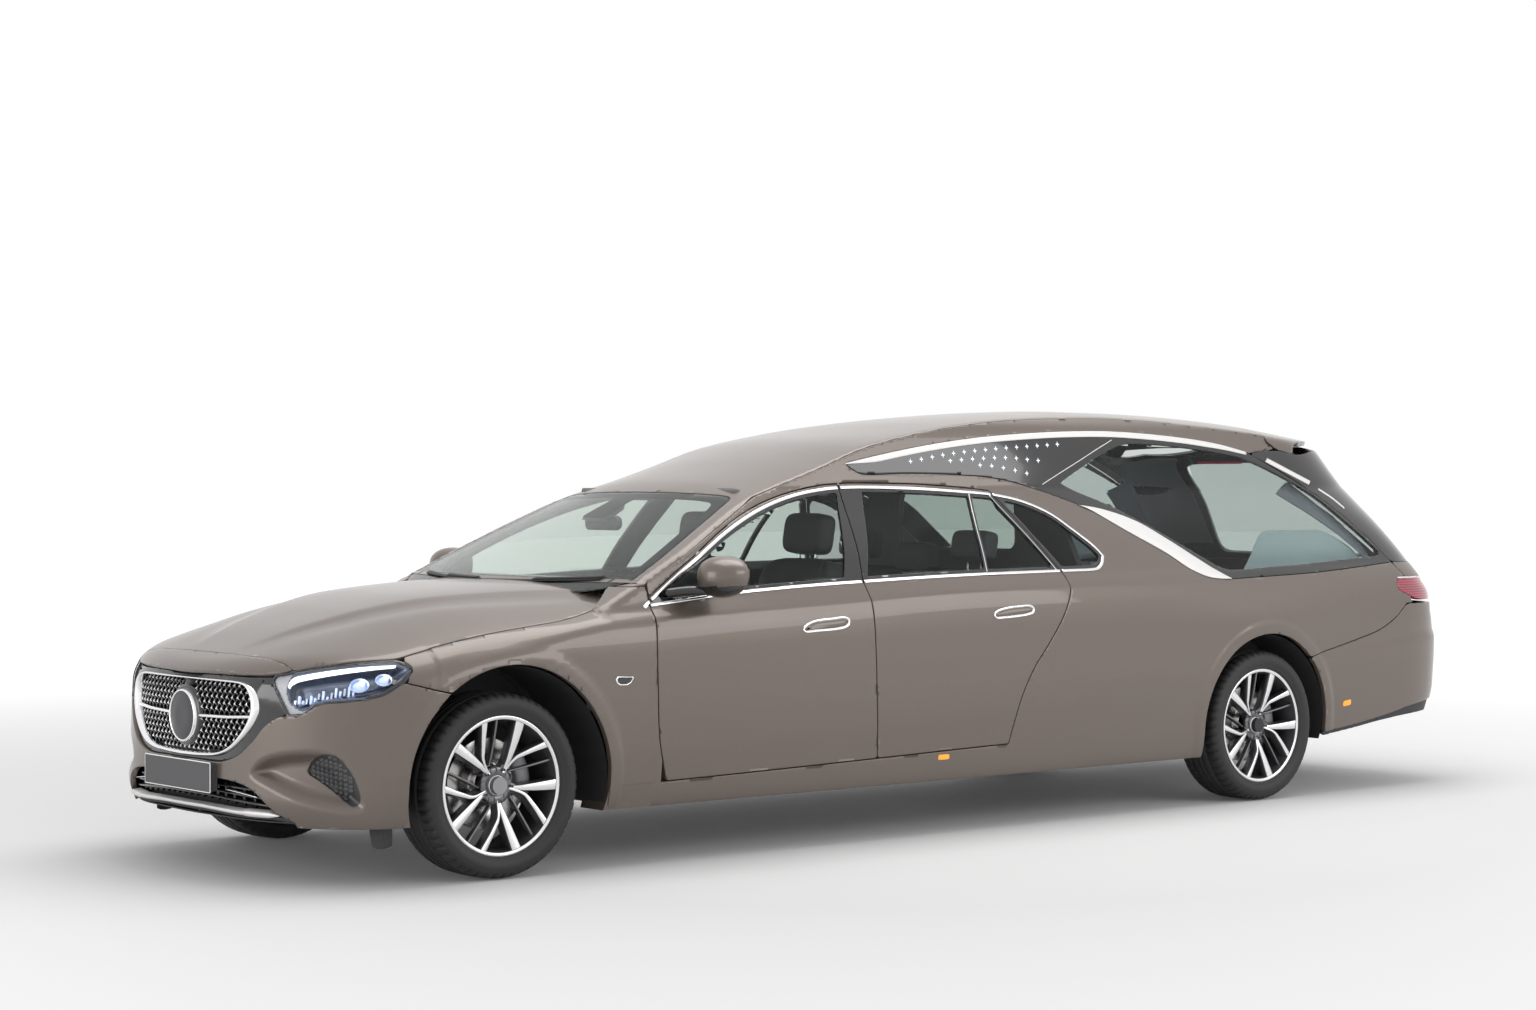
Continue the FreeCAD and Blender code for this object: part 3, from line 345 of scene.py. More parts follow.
def build(name, points, faces, material, body="body", smooth_faces=True, flags=None):
    """One mesh piece, from points in millimetres, that rides on a body."""
    mesh = bpy.data.meshes.new(name)
    mesh.from_pydata(place(points).tolist(), [], [list(map(int, f)) for f in faces])
    mesh.polygons.foreach_set("use_smooth", [smooth_faces] * len(mesh.polygons))
    made = bpy.data.objects.new(name, mesh)
    bpy.context.collection.objects.link(made)
    for each in material if isinstance(material, (list, tuple)) else [material]:
        mesh.materials.append(each)
    if flags is not None:
        mesh.polygons.foreach_set("material_index", flags)
    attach(made, body)
    return made


def curve(*runs, step=6.0, closed=True):
    """A smooth outline through each run of points. Each run goes on from the last point of the one before."""
    path = []
    for before, run in zip(((),) + runs, runs):
        run = np.array([*before[-1:], *run], float)
        if len(run) == 2:
            count = max(2, int(np.hypot(*(run[1] - run[0])[:2]) / step))
            path.append(run[0] + (run[1] - run[0]) * np.linspace(0, 1, count, endpoint=False)[:, None])
            continue
        ends = np.vstack([2 * run[0] - run[1], run, 2 * run[-1] - run[-2]])
        for i in range(1, len(ends) - 2):
            a, b, c, d = ends[i - 1:i + 3]
            k = [0.0]
            for p, q in ((a, b), (b, c), (c, d)):
                k.append(k[-1] + max(np.linalg.norm(q - p), 1e-6) ** 0.5)
            count = max(2, int(np.linalg.norm(c - b) / step))
            t = np.linspace(k[1], k[2], count, endpoint=False)[:, None]
            ab = (k[1] - t) / (k[1] - k[0]) * a + (t - k[0]) / (k[1] - k[0]) * b
            bc = (k[2] - t) / (k[2] - k[1]) * b + (t - k[1]) / (k[2] - k[1]) * c
            cd = (k[3] - t) / (k[3] - k[2]) * c + (t - k[2]) / (k[3] - k[2]) * d
            abc = (k[2] - t) / (k[2] - k[0]) * ab + (t - k[0]) / (k[2] - k[0]) * bc
            bcd = (k[3] - t) / (k[3] - k[1]) * bc + (t - k[1]) / (k[3] - k[1]) * cd
            path.append((k[2] - t) / (k[2] - k[1]) * abc + (t - k[1]) / (k[2] - k[1]) * bcd)
    if not closed:
        path.append(np.asarray(runs[-1][-1], float)[None])
    return np.vstack(path)


FAR = 60.0  # an outline's distances are followed this far from it


def inside_of(outline, u, v):
    """Signed distance to a closed outline, negative inside it."""
    u, v = np.asarray(u, float), np.asarray(v, float)
    shape = u.shape
    u, v = u.ravel(), v.ravel()
    low, high = outline.min(0) - FAR, outline.max(0) + FAR
    far = np.full(len(u), FAR)
    near = (u > low[0]) & (u < high[0]) & (v > low[1]) & (v < high[1])
    p, q = u[near], v[near]
    best = np.full(len(p), 1e9)
    odd = np.zeros(len(p), bool)
    for a, b in zip(outline, np.roll(outline, -1, 0)):
        e = b - a
        length = e @ e
        if length < 1e-12:
            continue
        t = np.clip(((p - a[0]) * e[0] + (q - a[1]) * e[1]) / length, 0, 1)
        best = np.minimum(best, (p - a[0] - t * e[0]) ** 2 + (q - a[1] - t * e[1]) ** 2)
        if e[1] != 0:
            hit = ((a[1] > q) != (b[1] > q)) & (p < a[0] + (q - a[1]) / e[1] * e[0])
            odd ^= hit
    best = np.sqrt(best)
    far[near] = np.where(odd, -best, best)
    return far.reshape(shape)


def without_crumbs(verts, faces, least=14):
    """The cut grid without loose scraps of a few faces, and without points that no face uses."""
    chief = list(range(len(verts)))

    def top(a):
        while chief[a] != a:
            chief[a] = chief[chief[a]]
            a = chief[a]
        return a

    for face in faces:
        for a in face[1:]:
            chief[top(a)] = top(face[0])
    share = {}
    for face in faces:
        share[top(face[0])] = share.get(top(face[0]), 0) + 1
    kept = [face for face in faces if share[top(face[0])] >= least]
    used = sorted({a for face in kept for a in face})
    order = {a: k for k, a in enumerate(used)}
    return verts[used], [[order[a] for a in face] for face in kept]


def cut_grid(points, field):
    """The part of a grid of points where the field is below zero, cut exactly at zero."""
    inside = field < 0
    ids = np.full(field.shape, -1)
    ids[inside] = np.arange(inside.sum())
    verts = list(points[inside])
    crossings = {}

    def crossing(a, b):
        if (a, b) not in crossings:
            share = field[a] / (field[a] - field[b])
            crossings[(a, b)] = len(verts)
            verts.append(points[a] + (points[b] - points[a]) * share)
        return crossings[(a, b)]

    count = inside[:-1, :-1].astype(int) + inside[1:, :-1] + inside[:-1, 1:] + inside[1:, 1:]
    i, j = np.nonzero(count == 4)
    faces = np.stack([ids[i, j], ids[i + 1, j], ids[i + 1, j + 1], ids[i, j + 1]], 1).tolist()
    for i, j in np.argwhere((count > 0) & (count < 4)):
        ring = [(i, j), (i + 1, j), (i + 1, j + 1), (i, j + 1)]
        face = []
        for a, b in zip(ring, ring[1:] + ring[:1]):
            if inside[a]:
                face.append(ids[a])
            if inside[a] != inside[b]:
                face.append(crossing(a, b) if inside[a] else crossing(b, a))
        if len(face) > 2:
            faces.append(face)
    return without_crumbs(np.array(verts), faces)


def point_normals(verts, faces):
    normal = np.zeros((len(verts), 3))
    for size in (3, 4, 5, 6):
        some = np.array([f for f in faces if len(f) == size])
        if len(some):
            n = np.cross(verts[some[:, 2]] - verts[some[:, 0]], verts[some[:, -1]] - verts[some[:, 1]])
            for k in range(size):
                np.add.at(normal, some[:, k], n)
    return normal / np.maximum(np.linalg.norm(normal, axis=1), 1e-9)[:, None]


def with_edge(verts, faces, depth, back=True, lip=2.2):
    """Gives a cut sheet a rounded lip, shut faces and a back, so it is a real panel of that depth."""
    normal = point_normals(verts, faces)
    seen = {}
    for f in faces:
        for a, b in zip(f, f[1:] + f[:1]):
            seen[(a, b)] = True
    rim = [(a, b) for a, b in seen if (b, a) not in seen]
    edge = sorted({v for pair in rim for v in pair})
    order = {v: i for i, v in enumerate(edge)}
    inward = np.zeros((len(edge), 3))
    for a, b in rim:
        side = np.cross(normal[a] + normal[b], verts[b] - verts[a])
        side /= max(np.linalg.norm(side), 1e-9)
        inward[order[a]] += side
        inward[order[b]] += side
    inward /= np.maximum(np.linalg.norm(inward, axis=1), 1e-9)[:, None]
    n = normal[edge]
    body = verts.copy()
    body[edge] += inward * lip
    base = len(verts)
    ring1 = verts[edge] + inward * lip * 0.3 - n * lip * 0.3
    ring2 = verts[edge] - n * lip
    ring3 = verts[edge] - n * depth
    new = list(faces)
    total = np.vstack([body, ring1, ring2, ring3])
    k = len(edge)
    for a, b in rim:
        i, j = order[a], order[b]
        new.append([b, a, base + i, base + j])
        new.append([base + j, base + i, base + k + i, base + k + j])
        new.append([base + k + j, base + k + i, base + 2 * k + i, base + 2 * k + j])
    if back:
        shift = len(total)
        total = np.vstack([total, verts - normal * depth])
        new += [[v + shift for v in f[::-1]] for f in faces]
    return total, new


def flipped(faces):
    return [f[::-1] for f in faces]


def flip(verts, faces):
    return verts, flipped(faces)


def panel(grid, field, depth, over=False, **edge):
    """What a field keeps of a grid, as a sheet of some depth. Over turns it to face the other way."""
    verts, faces = cut_grid(grid, field)
    return with_edge(verts, flipped(faces) if over else faces, depth=depth, **edge)


def mirrored(verts, faces):
    return flip(verts * (1, -1, 1), faces)


def per_side(verts, faces):
    """The left piece, and its mirror image on the right."""
    verts = np.asarray(verts, float)
    yield "left", verts, faces
    yield "right", *mirrored(verts, faces)


def shifted(faces, by):
    return [[v + by for v in f] for f in faces]


def both_sides(verts, faces):
    other, turned_over = mirrored(verts, faces)
    return np.vstack([verts, other]), list(faces) + shifted(turned_over, len(verts))


def side_reach(x, z):
    """Half width of the side, also where it turns in to the tail."""
    end = column(TAIL, z)
    tail = column(TAIL, z, 2)
    behind = np.clip((x - end) / (tail - end), 0, 0.98)
    return side_half(x, z) * (1 - behind ** 2.8) ** (1 / 4.5)


def on_side(x, z, out):
    """Points on the left side at stations and heights, proud of it by some amount."""
    return np.stack([x, -side_half(x, z) - out, z], -1)


def grid_faces(rows, columns, closed=True, ring=False):
    """Faces between rows of points. Closed joins each row's ends, ring joins the last row to the first."""
    return [[a * columns + i, a * columns + j, b * columns + j, b * columns + i]
            for a, b in ((r, (r + 1) % rows) for r in range(rows - (not ring)))
            for i, j in ((i, (i + 1) % columns) for i in range(columns - (not closed)))]


def row_ends(rows, columns):
    """Faces that close both ends of open rows."""
    return [[r * columns for r in range(rows)], [r * columns + columns - 1 for r in reversed(range(rows))]]


def ring_ends(rows, columns):
    """Faces that close the first and the last of closed rows."""
    return [list(range(columns))[::-1], [(rows - 1) * columns + k for k in range(columns)]]


def side_grid(x0, x1, z0, z1, step, out=0.0):
    """Points of the left body side on an even grid, seen straight from the side."""
    x, z = spread(by_step(x0, x1, step), by_step(z0, z1, step))
    return np.stack([x, -side_reach(x, z) - out, z], 2)


GAP = 2.2  # half of a shut gap
FRONT_DOOR = curve([(767, 321), (728, 480), (716, 700), (716, 860), (732, 1006)],
                   [(735, 1045)],
                   [(858, 1122), (998, 1203), (1207, 1313), (1420, 1400), (1615, 1452), (1790, 1481),
                    (1920, 1492)],
                   [(1852, 1090)],
                   [(1853, 1000), (1858, 700), (1874, 344)],
                   [(1238, 330), (767, 321)])
REAR_DOOR = curve([(1874, 344), (1858, 700), (1853, 1000), (1852, 1090)],
                  [(1920, 1492)],
                  [(1970, 1494), (2330, 1490), (2600, 1477), (2790, 1462)],
                  [(2852, 1372), (2924, 1252), (3014, 1112)],
                  [(3030, 1070), (3029, 1022), (3008, 975), (2962, 900), (2872, 790), (2783, 690),
                   (2710, 570), (2665, 450), (2637, 361)],
                  [(2300, 354), (1874, 344)])
GLASSHOUSE = curve([(700, 1003), (1088, 1040), (1460, 1062), (1869, 1077), (2430, 1092), (3013, 1099),
                    (3190, 1100), (3225, 1101)],
                   [(3262, 1106), (3300, 1128), (3327, 1165)],
                   [(3295, 1209), (3199, 1291), (3106, 1362), (2970, 1417), (2804, 1448), (2597, 1463),
                    (2325, 1476), (1969, 1481), (1788, 1469), (1613, 1440), (1414, 1384), (1203, 1299),
                    (994, 1191),
                    (854, 1110), (705, 1015)],
                   [(700, 1003)])
ARC_TOP = ((1966, 1577), (2217, 1622), (2495, 1664), (2780, 1696), (3070, 1717), (3367, 1730), (3671, 1732),
           (4092, 1710), (4362, 1681), (4560, 1644))
BLACK_PANEL = curve(ARC_TOP,
                    [(4720, 1580), (4981, 1459), (5138, 1332), (5345, 1102)],
                    [(5020, 1080), (4705, 1062), (4300, 1050), (4114, 1046), (4030, 1049), (3958, 1059),
                     (3869, 1093), (3750, 1167), (3552, 1273), (3369, 1376), (3320, 1394), (3163, 1445),
                     (2983, 1492),
                     (2817, 1518), (2609, 1530), (2336, 1536), (2056, 1533), (2007, 1552)],
                    [(1966, 1577)])
TAIL_EDGE = curve([(4735, 2000), (4735, 1760), (4720, 1700), (4760, 1672), (4799, 1655)],
                  [(4700, 1651), (4620, 1643), (4572, 1634)],
                  [(4720, 1580), (4981, 1459), (5138, 1332), (5345, 1102)],
                  [(5406, 1000), (5421, 905)], [(6400, 905)], [(6400, 2000)],
                  [(4735, 2000)])
TAIL_LAMP = curve([(5315, 1003), (5330, 1020), (5360, 1028)], [(5900, 1028)], [(5900, 912)],
                  [(5600, 912), (5487, 917), (5445, 925), (5380, 946), (5326, 968), (5315, 985)],
                  [(5315, 1003)])
REAR_BUMPER = curve([(4635, 662), (4735, 684), (4841, 705), (5000, 738), (5153, 774), (5287, 832),
                     (5380, 900)],
                    [(6400, 900)], [(6400, 0)], [(4635, 0)], [(4635, 662)])


def outside_arches(x, z, gap=0.0):
    """Above zero inside a wheel arch."""
    field = np.full(np.shape(x), -FAR)
    for station, height, radius in ARCHES:
        opening = radius + gap - np.hypot(x - station, z - height)
        drop = np.minimum(radius + gap - np.abs(x - station), height - z)
        field = np.maximum(field, np.maximum(opening, drop))
    return field


grid = side_grid(560, 5424, 224, 1800, step=12.0)
X, Z = grid[..., 0], grid[..., 2]
rail_z = column(ROOF, X, 2) - 4
front_gap = inside_of(curve([(0, 0), (0, 2400)], [(722, 2400)],
                            [(732, 1050), (716, 860), (716, 700), (728, 480), (757, 321)],
                            [(500, 318)], [(500, 0)], [(0, 0)]), X, Z)
skin = np.maximum.reduce([
    GAP - inside_of(FRONT_DOOR, X, Z), GAP - inside_of(REAR_DOOR, X, Z), 1 - inside_of(BLACK_PANEL, X, Z),
    -inside_of(GLASSHOUSE, X, Z), GAP - inside_of(TAIL_EDGE, X, Z), GAP - inside_of(REAR_BUMPER, X, Z),
    GAP - front_gap, outside_arches(X, Z), Z - rail_z, 1 - inside_of(TAIL_LAMP, X, Z),
    screen_face(grid[..., 1], Z) + 30 - X])
verts, faces = both_sides(*panel(grid, skin, depth=24, back=False))
side_skin = build("side_skin", verts, faces, paint)
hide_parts("sills", "quarter_panels", "side_frames")


# ---- Doors
# Four steel doors with pressed skins, each hung at its front edge. A trimmed box behind the skin holds
# the lock and the window, so a door is as thick as the whole side wall.
grain, grain_in, grain_out = effect_group(
    "fine_grain", (("Scale", "NodeSocketFloat", 260.0), ("Depth", "NodeSocketFloat", 0.3),
                   ("Dark", "NodeSocketFloat", 0.9)),
    (("Shade", "NodeSocketFloat"), ("Roughness", "NodeSocketFloat"), ("Normal", "NodeSocketVector")))
grain_at = node(grain, "ShaderNodeTexCoord")
grain_noise = node(grain, "ShaderNodeTexNoise", {"Detail": 3.0})
wire(grain, grain_at, "Object", grain_noise, "Vector")
wire(grain, grain_in, "Scale", grain_noise, "Scale")
grain_bump = node(grain, "ShaderNodeBump", {"Distance": 0.0006})
wire(grain, grain_in, "Depth", grain_bump, "Strength")
wire(grain, grain_noise, "Fac", grain_bump, "Height")
wire(grain, grain_bump, 0, grain_out, "Normal")
grain_shade = node(grain, "ShaderNodeMapRange", {"To Max": 1.06})
wire(grain, grain_noise, "Fac", grain_shade, "Value")
wire(grain, grain_in, "Dark", grain_shade, "To Min")
wire(grain, grain_shade, 0, grain_out, "Shade")
grain_rough = node(grain, "ShaderNodeMapRange", {"To Min": 0.45, "To Max": 0.7})
wire(grain, grain_noise, "Fac", grain_rough, "Value")
wire(grain, grain_rough, 0, grain_out, "Roughness")


def grained(name, color, rough, scale, depth, metal=0.0, dark=0.9, even_gloss=False, **more):
    """A material with the shared grain in its own colour; even gloss leaves its roughness as it is."""
    material = shader(name, color, rough, metal, **more)
    tree = material.node_tree
    bsdf = tree.nodes["Principled BSDF"]
    group = node(tree, "ShaderNodeGroup", node_tree=grain)
    for key, value in (("Scale", scale), ("Depth", depth), ("Dark", dark)):
        group.inputs[key].default_value = value
    tint = node(tree, "ShaderNodeMix", {"Factor": 1.0, "A": (*color, 1)}, data_type="RGBA",
                blend_type="MULTIPLY")
    wire(tree, group, "Shade", tint, "B")
    wire(tree, tint, "Result", bsdf, "Base Color")
    wire(tree, group, "Normal", bsdf, "Normal")
    if not even_gloss:
        wire(tree, group, "Roughness", bsdf, "Roughness")
    return material


trim_black = grained("door_trim_grain", (0.04, 0.04, 0.043), 0.6, 420, 0.35)
gloss_black = grained("gloss_black", (0.012, 0.012, 0.013), 0.08, 30, 0.01, even_gloss=True, Coat_Weight=0.6)
bright_trim = grained("bright_trim", (0.86, 0.86, 0.87), 0.16, 60, 0.02, metal=1.0, dark=0.97,
                      even_gloss=True)
clear_glass = shader("clear_glass", (0.695, 0.757, 0.718), 0.0, Transmission_Weight=1.0, IOR=1.2)
deck_tint = shader("deck_tint_glass", (0.61, 0.66, 0.64), 0.0, Transmission_Weight=1.0, IOR=1.2)
DOORS = (("front_door", FRONT_DOOR, ("front_door", "front_door_frame")),
         ("rear_door", REAR_DOOR, ("rear_door",)))
for name, outline, nodes in DOORS:
    low, high = outline.min(0), outline.max(0)
    grid = side_grid(low[0] - 8, high[0] + 8, low[1] - 8, high[1] + 8, step=10.0)
    X, Z = grid[..., 0], grid[..., 2]
    skin = np.maximum(inside_of(outline, X, Z) + GAP, -inside_of(GLASSHOUSE, X, Z) - 3)
    outer = panel(grid, skin, depth=24, back=False)
    lining = side_grid(low[0] + 20, high[0] - 20, low[1] + 30, 1090, step=26.0, out=-92)
    LX, LZ = lining[..., 0], lining[..., 2]
    lining[..., 1] -= 14 * ease(LZ, 560, 600) * (1 - ease(LZ, 690, 730)) + 10 * ease(LZ, 860, 900)
    lining[..., 1] += 22
    inner = np.maximum(inside_of(outline, LX, LZ) + 30, LZ - column(BELT, LX) + 12)
    back_skin = panel(lining, inner, depth=58, over=True, back=False)
    for side in ("left", "right"):
        for part, shape, material in (("skin", outer, paint), ("lining", back_skin, trim_black)):
            verts, faces = shape if side == "left" else mirrored(*shape)
            piece = build(name + "_" + part + "_" + side, verts, faces, material, name + "_" + side)
            if part == "skin":
                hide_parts(*(n + "_" + side for n in nodes))


# ---- Side glass and its trim
# Toughened side panes in gloss black pillars and rubber runs, inside one bright moulding.
def right_of(points, x, z):
    """Above zero to the rear of a line of (station, height) points."""
    points = sorted(points, key=lambda p: p[1])
    return (x - np.interp(z, [p[1] for p in points], [p[0] for p in points])) * 0.93


PILLAR_LINES = (  # pane name, its front edge, its rear edge, body
    ("front_pane", [(600, 1000), (600, 1500)], [(1750, 1090), (1899, 1464)], "front_door"),
    ("rear_pane", [(1880, 1095), (2038, 1455)], [(2561, 1114), (2598, 1287), (2648, 1430)], "rear_door"),
    ("vent_pane", [(2584, 1114), (2621, 1287), (2671, 1430)], [(2990, 1112), (2896, 1245), (2800, 1390)],
     "rear_door"),
    ("quarter_pane", [(3046, 1112), (2946, 1255), (2860, 1390)], [(3600, 1000), (3600, 1500)], "body"))
privacy = shader("privacy_glass", (0.40, 0.42, 0.42), 0.0, Transmission_Weight=1.0, IOR=1.2)
grid = side_grid(690, 3335, 995, 1490, step=9.0)
X, Z = grid[..., 0], grid[..., 2]
house = inside_of(GLASSHOUSE, X, Z)
door_front, door_rear = inside_of(FRONT_DOOR, X, Z), inside_of(REAR_DOOR, X, Z)
pane_fields = []
for name, front_line, rear_line, body in PILLAR_LINES:
    field = np.maximum.reduce([house + 25, -right_of(front_line, X, Z), right_of(rear_line, X, Z)])
    pane_fields.append(field)
    pane_grid = grid + (0, 6, 0)
    verts, faces = panel(pane_grid[::2, ::2], field[::2, ::2] - 4, depth=4, lip=0.4)
    glass = {"quarter_pane": privacy, "front_pane": clear_glass}.get(name, deck_tint)
    for side, v, f in per_side(verts, faces) if body != "body" else [("both", *both_sides(verts, faces))]:
        piece = build(name + "_" + side, v, f, glass, body if side == "both" else body + "_" + side)
        if name in ("front_pane", "rear_pane"):
            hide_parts(body + "_glass_" + side)
panes = np.minimum.reduce(pane_fields)
frame_base = np.maximum(house + 8, -panes)
for name, door_field, body in (("front_door", door_front + GAP, "front_door"),
                               ("rear_door", door_rear + GAP, "rear_door"),
                               ("body", np.maximum(GAP - door_front, GAP - door_rear), "body")):
    verts, faces = panel(grid + (0, 2.0, 0), np.maximum(frame_base, door_field), depth=16, lip=1.2)
    for side, v, f in per_side(verts, faces):
        build(name + "_pillar_trim_" + side, v, f, gloss_black,
                      body if body == "body" else body + "_" + side)


def moulding(path, width, rise, keep, base=-3.0):
    """A bright strip along a side outline, its crown proud of the skin; only where keep is below zero."""
    path = np.asarray(path)
    along = np.roll(path, -1, 0) - np.roll(path, 1, 0)
    along[0], along[-1] = path[1] - path[0], path[-1] - path[-2]
    along /= np.maximum(np.linalg.norm(along, axis=1), 1e-9)[:, None]
    across = np.stack([-along[:, 1], along[:, 0]], 1)
    wide = np.broadcast_to(width, (len(path),))
    shape = ((0.0, base), (0.0, rise * 0.55), (0.08, rise * 0.85), (0.25, rise), (0.5, rise * 1.08),
             (0.75, rise),
             (0.92, rise * 0.85), (1.0, rise * 0.55), (1.0, base))
    rows = []
    for share, out in shape:
        at = path + across * (wide * share)[:, None]
        rows.append(on_side(*at.T, out))
    rows = np.array(rows)
    good = keep(path[:, 0], path[:, 1]) < 0
    faces = []
    wide_n = len(path)
    for i in range(wide_n - 1):
        if good[i] and good[i + 1]:
            for r in range(len(shape) - 1):
                faces.append([r * wide_n + i, (r + 1) * wide_n + i, (r + 1) * wide_n + i + 1,
                              r * wide_n + i + 1])
    ends = [i for i in range(wide_n) if good[i]
            and (i == 0 or i == wide_n - 1 or not good[i - 1] or not good[i + 1])]
    for i in ends:
        ring = [r * wide_n + i for r in range(len(shape))]
        first = i == 0 or not good[i - 1]
        faces.append(ring if not first else ring[::-1])
    return rows.reshape(-1, 3), faces


def everywhere(x, z):
    return np.full(np.shape(x), -1.0)


loop = np.vstack([GLASSHOUSE, GLASSHOUSE[:1]])
for name, keep, body in (
        ("front_door", lambda x, z: inside_of(FRONT_DOOR, x, z) + 3, "front_door"),
        ("rear_door", lambda x, z: inside_of(REAR_DOOR, x, z) + 3, "rear_door"),
        ("body", lambda x, z: 3 - np.minimum(inside_of(FRONT_DOOR, x, z), inside_of(REAR_DOOR, x, z)),
         "body")):
    verts, faces = moulding(loop, width=11, rise=3.5, keep=keep)
    for side, v, f in per_side(verts, faces):
        build(name + "_moulding_" + side, v, f, bright_trim,
                      body if body == "body" else body + "_" + side)
for divider in (((2572, 1108), (2609, 1287), (2662, 1446)),
                ((2998, 1106), (2905, 1248), (2806, 1400), (2782, 1440))):
    line = curve(divider, step=8, closed=False)
    verts, faces = moulding(line, width=3.5, rise=2.2, keep=everywhere, base=-2)
    for side, v, f in per_side(verts, faces):
        build("divider_trim_%d_%s" % (divider[0][0], side), v, f, bright_trim, "rear_door_" + side)


# ---- Deck side glass and light panel
# One long bonded glass on each side of the load space, printed black at the front, where small cross
# shaped lights shine through. A silver arc closes it at the top and another at its lower front edge.
CLEAR = curve([(3259, 1494), (3420, 1568), (3560, 1628), (3690, 1668), (3779, 1677), (4077, 1665),
               (4340, 1640), (4517, 1616)],
              [(4700, 1560), (4985, 1440), (5140, 1300), (5283, 1152)],
              [(5264, 1138), (5210, 1133)],
              [(4730, 1107), (4399, 1095), (4180, 1088), (4118, 1090), (4057, 1108)],
              [(3545, 1379), (3337, 1458)], [(3259, 1494)])
ARC_LOW = ((3369, 1375), (3552, 1271), (3750, 1167), (3869, 1093), (3958, 1059), (4030, 1049), (4114, 1046))
ARC_HIGH = ((3309, 1395), (3454, 1374), (3637, 1318), (3790, 1233), (3934, 1146), (4050, 1080), (4115, 1049))
grid = side_grid(1955, 5352, 1040, 1738, step=12.5)
X, Z = grid[..., 0], grid[..., 2]
printed = inside_of(BLACK_PANEL, X, Z) + 1.5
clear = inside_of(CLEAR, X, Z)
verts, faces = both_sides(*panel(grid + (0, 1.5, 0), np.maximum(printed, 1.0 - clear), depth=18, lip=1.0))
deck_print = build("deck_glass_print", verts, faces, gloss_black)
wide_grid = side_grid(3230, 5310, 1060, 1700, step=18.0)
clear = inside_of(CLEAR, wide_grid[..., 0], wide_grid[..., 2])
verts, faces = both_sides(*panel(wide_grid + (0, 3.0, 0), clear - 6, depth=5, lip=0.4))
deck_pane = build("deck_side_glass", verts, faces, deck_tint)
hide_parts("side_windows")
silver = grained("satin_silver", (0.74, 0.73, 0.72), 0.3, 90, 0.05, metal=0.85, dark=0.96)
top_arc = curve(ARC_TOP, step=12, closed=False)[::-1]
width = 27 * ease(top_arc[:, 0], 1900, 2180) * (0.55 + 0.45 * ease(-top_arc[:, 0], -4620, -4250))
verts, faces = both_sides(*moulding(top_arc, width=width, rise=4.0, keep=everywhere))
build("upper_arc_trim", verts, faces, silver)
low = curve(ARC_LOW, step=10, closed=False)
high = curve(ARC_HIGH, step=10, closed=False)
share = np.linspace(0, 1, 90)
low, high = (np.stack([np.interp(share * (len(line) - 1), range(len(line)), line[:, k]) for k in (0, 1)], 1)
             for line in (low, high))
rows = []
for mix, out in ((0, -4), (0, 3.0), (0.06, 4.2), (0.5, 5.0), (0.94, 4.2), (1, 3.0), (1, -4)):
    at = low + (high - low) * mix
    rows.append(on_side(*at.T, out))
verts, faces = both_sides(np.vstack(rows), grid_faces(len(rows), len(share), closed=False))
build("lower_arc_trim", verts, faces, silver)
seam_line = curve([(3140, 1485), (3165, 1496), (3283, 1546), (3403, 1596), (3525, 1648), (3636, 1692)],
                  step=12, closed=False)
verts, faces = both_sides(*moulding(seam_line, width=3.0, rise=0.4, keep=everywhere, base=-1))
build("panel_seam_line", verts, faces, silver)
star_light = shader("star_light", (0.9, 0.95, 1.0), 0.4)
star_tree = star_light.node_tree
star_bsdf = star_tree.nodes["Principled BSDF"]
star_bsdf.inputs["Emission Strength"].default_value = 2.2
star_glow = node(star_tree, "ShaderNodeTexNoise", {"Scale": 40.0})
star_color = node(star_tree, "ShaderNodeMix", {"A": (0.62, 0.80, 1.0, 1), "B": (0.9, 0.97, 1.0, 1)},
                  data_type="RGBA")
wire(star_tree, star_glow, "Fac", star_color, "Factor")
wire(star_tree, star_color, "Result", star_bsdf, "Emission Color")
STAR_ROWS = (  # first station, spacing, count, heights along the row
    (2348, 65.9, 15, ((2348, 1588), (2606, 1624), (2868, 1646), (3271, 1670))),
    (2586, 68.2, 9, ((2586, 1592), (2784, 1603), (2922, 1607), (3132, 1595))),
    (2764, 71.5, 5, ((2764, 1573), (2831, 1570), (2904, 1562), (3050, 1537))))
STAR_REACH = (13.0, 2.6)  # how far its points and its hollows reach
verts, faces = [], []
for first, spacing, count, heights in STAR_ROWS:
    for k in range(count):
        x = first + spacing * k
        z = float(column(heights, x))
        faces += [[len(verts), len(verts) + 1 + k, len(verts) + 1 + (k + 1) % 8] for k in range(8)]
        verts.append(on_side(x, z, 1.6))
        for turn in range(8):
            reach, angle = STAR_REACH[turn % 2], math.radians(45 * turn + 90)
            verts.append(on_side(x + reach * math.cos(angle), z + reach * math.sin(angle), 0.4))
verts, faces = both_sides(np.array(verts), faces)
star_piece = build("star_lights", verts, faces, star_light, smooth_faces=False)


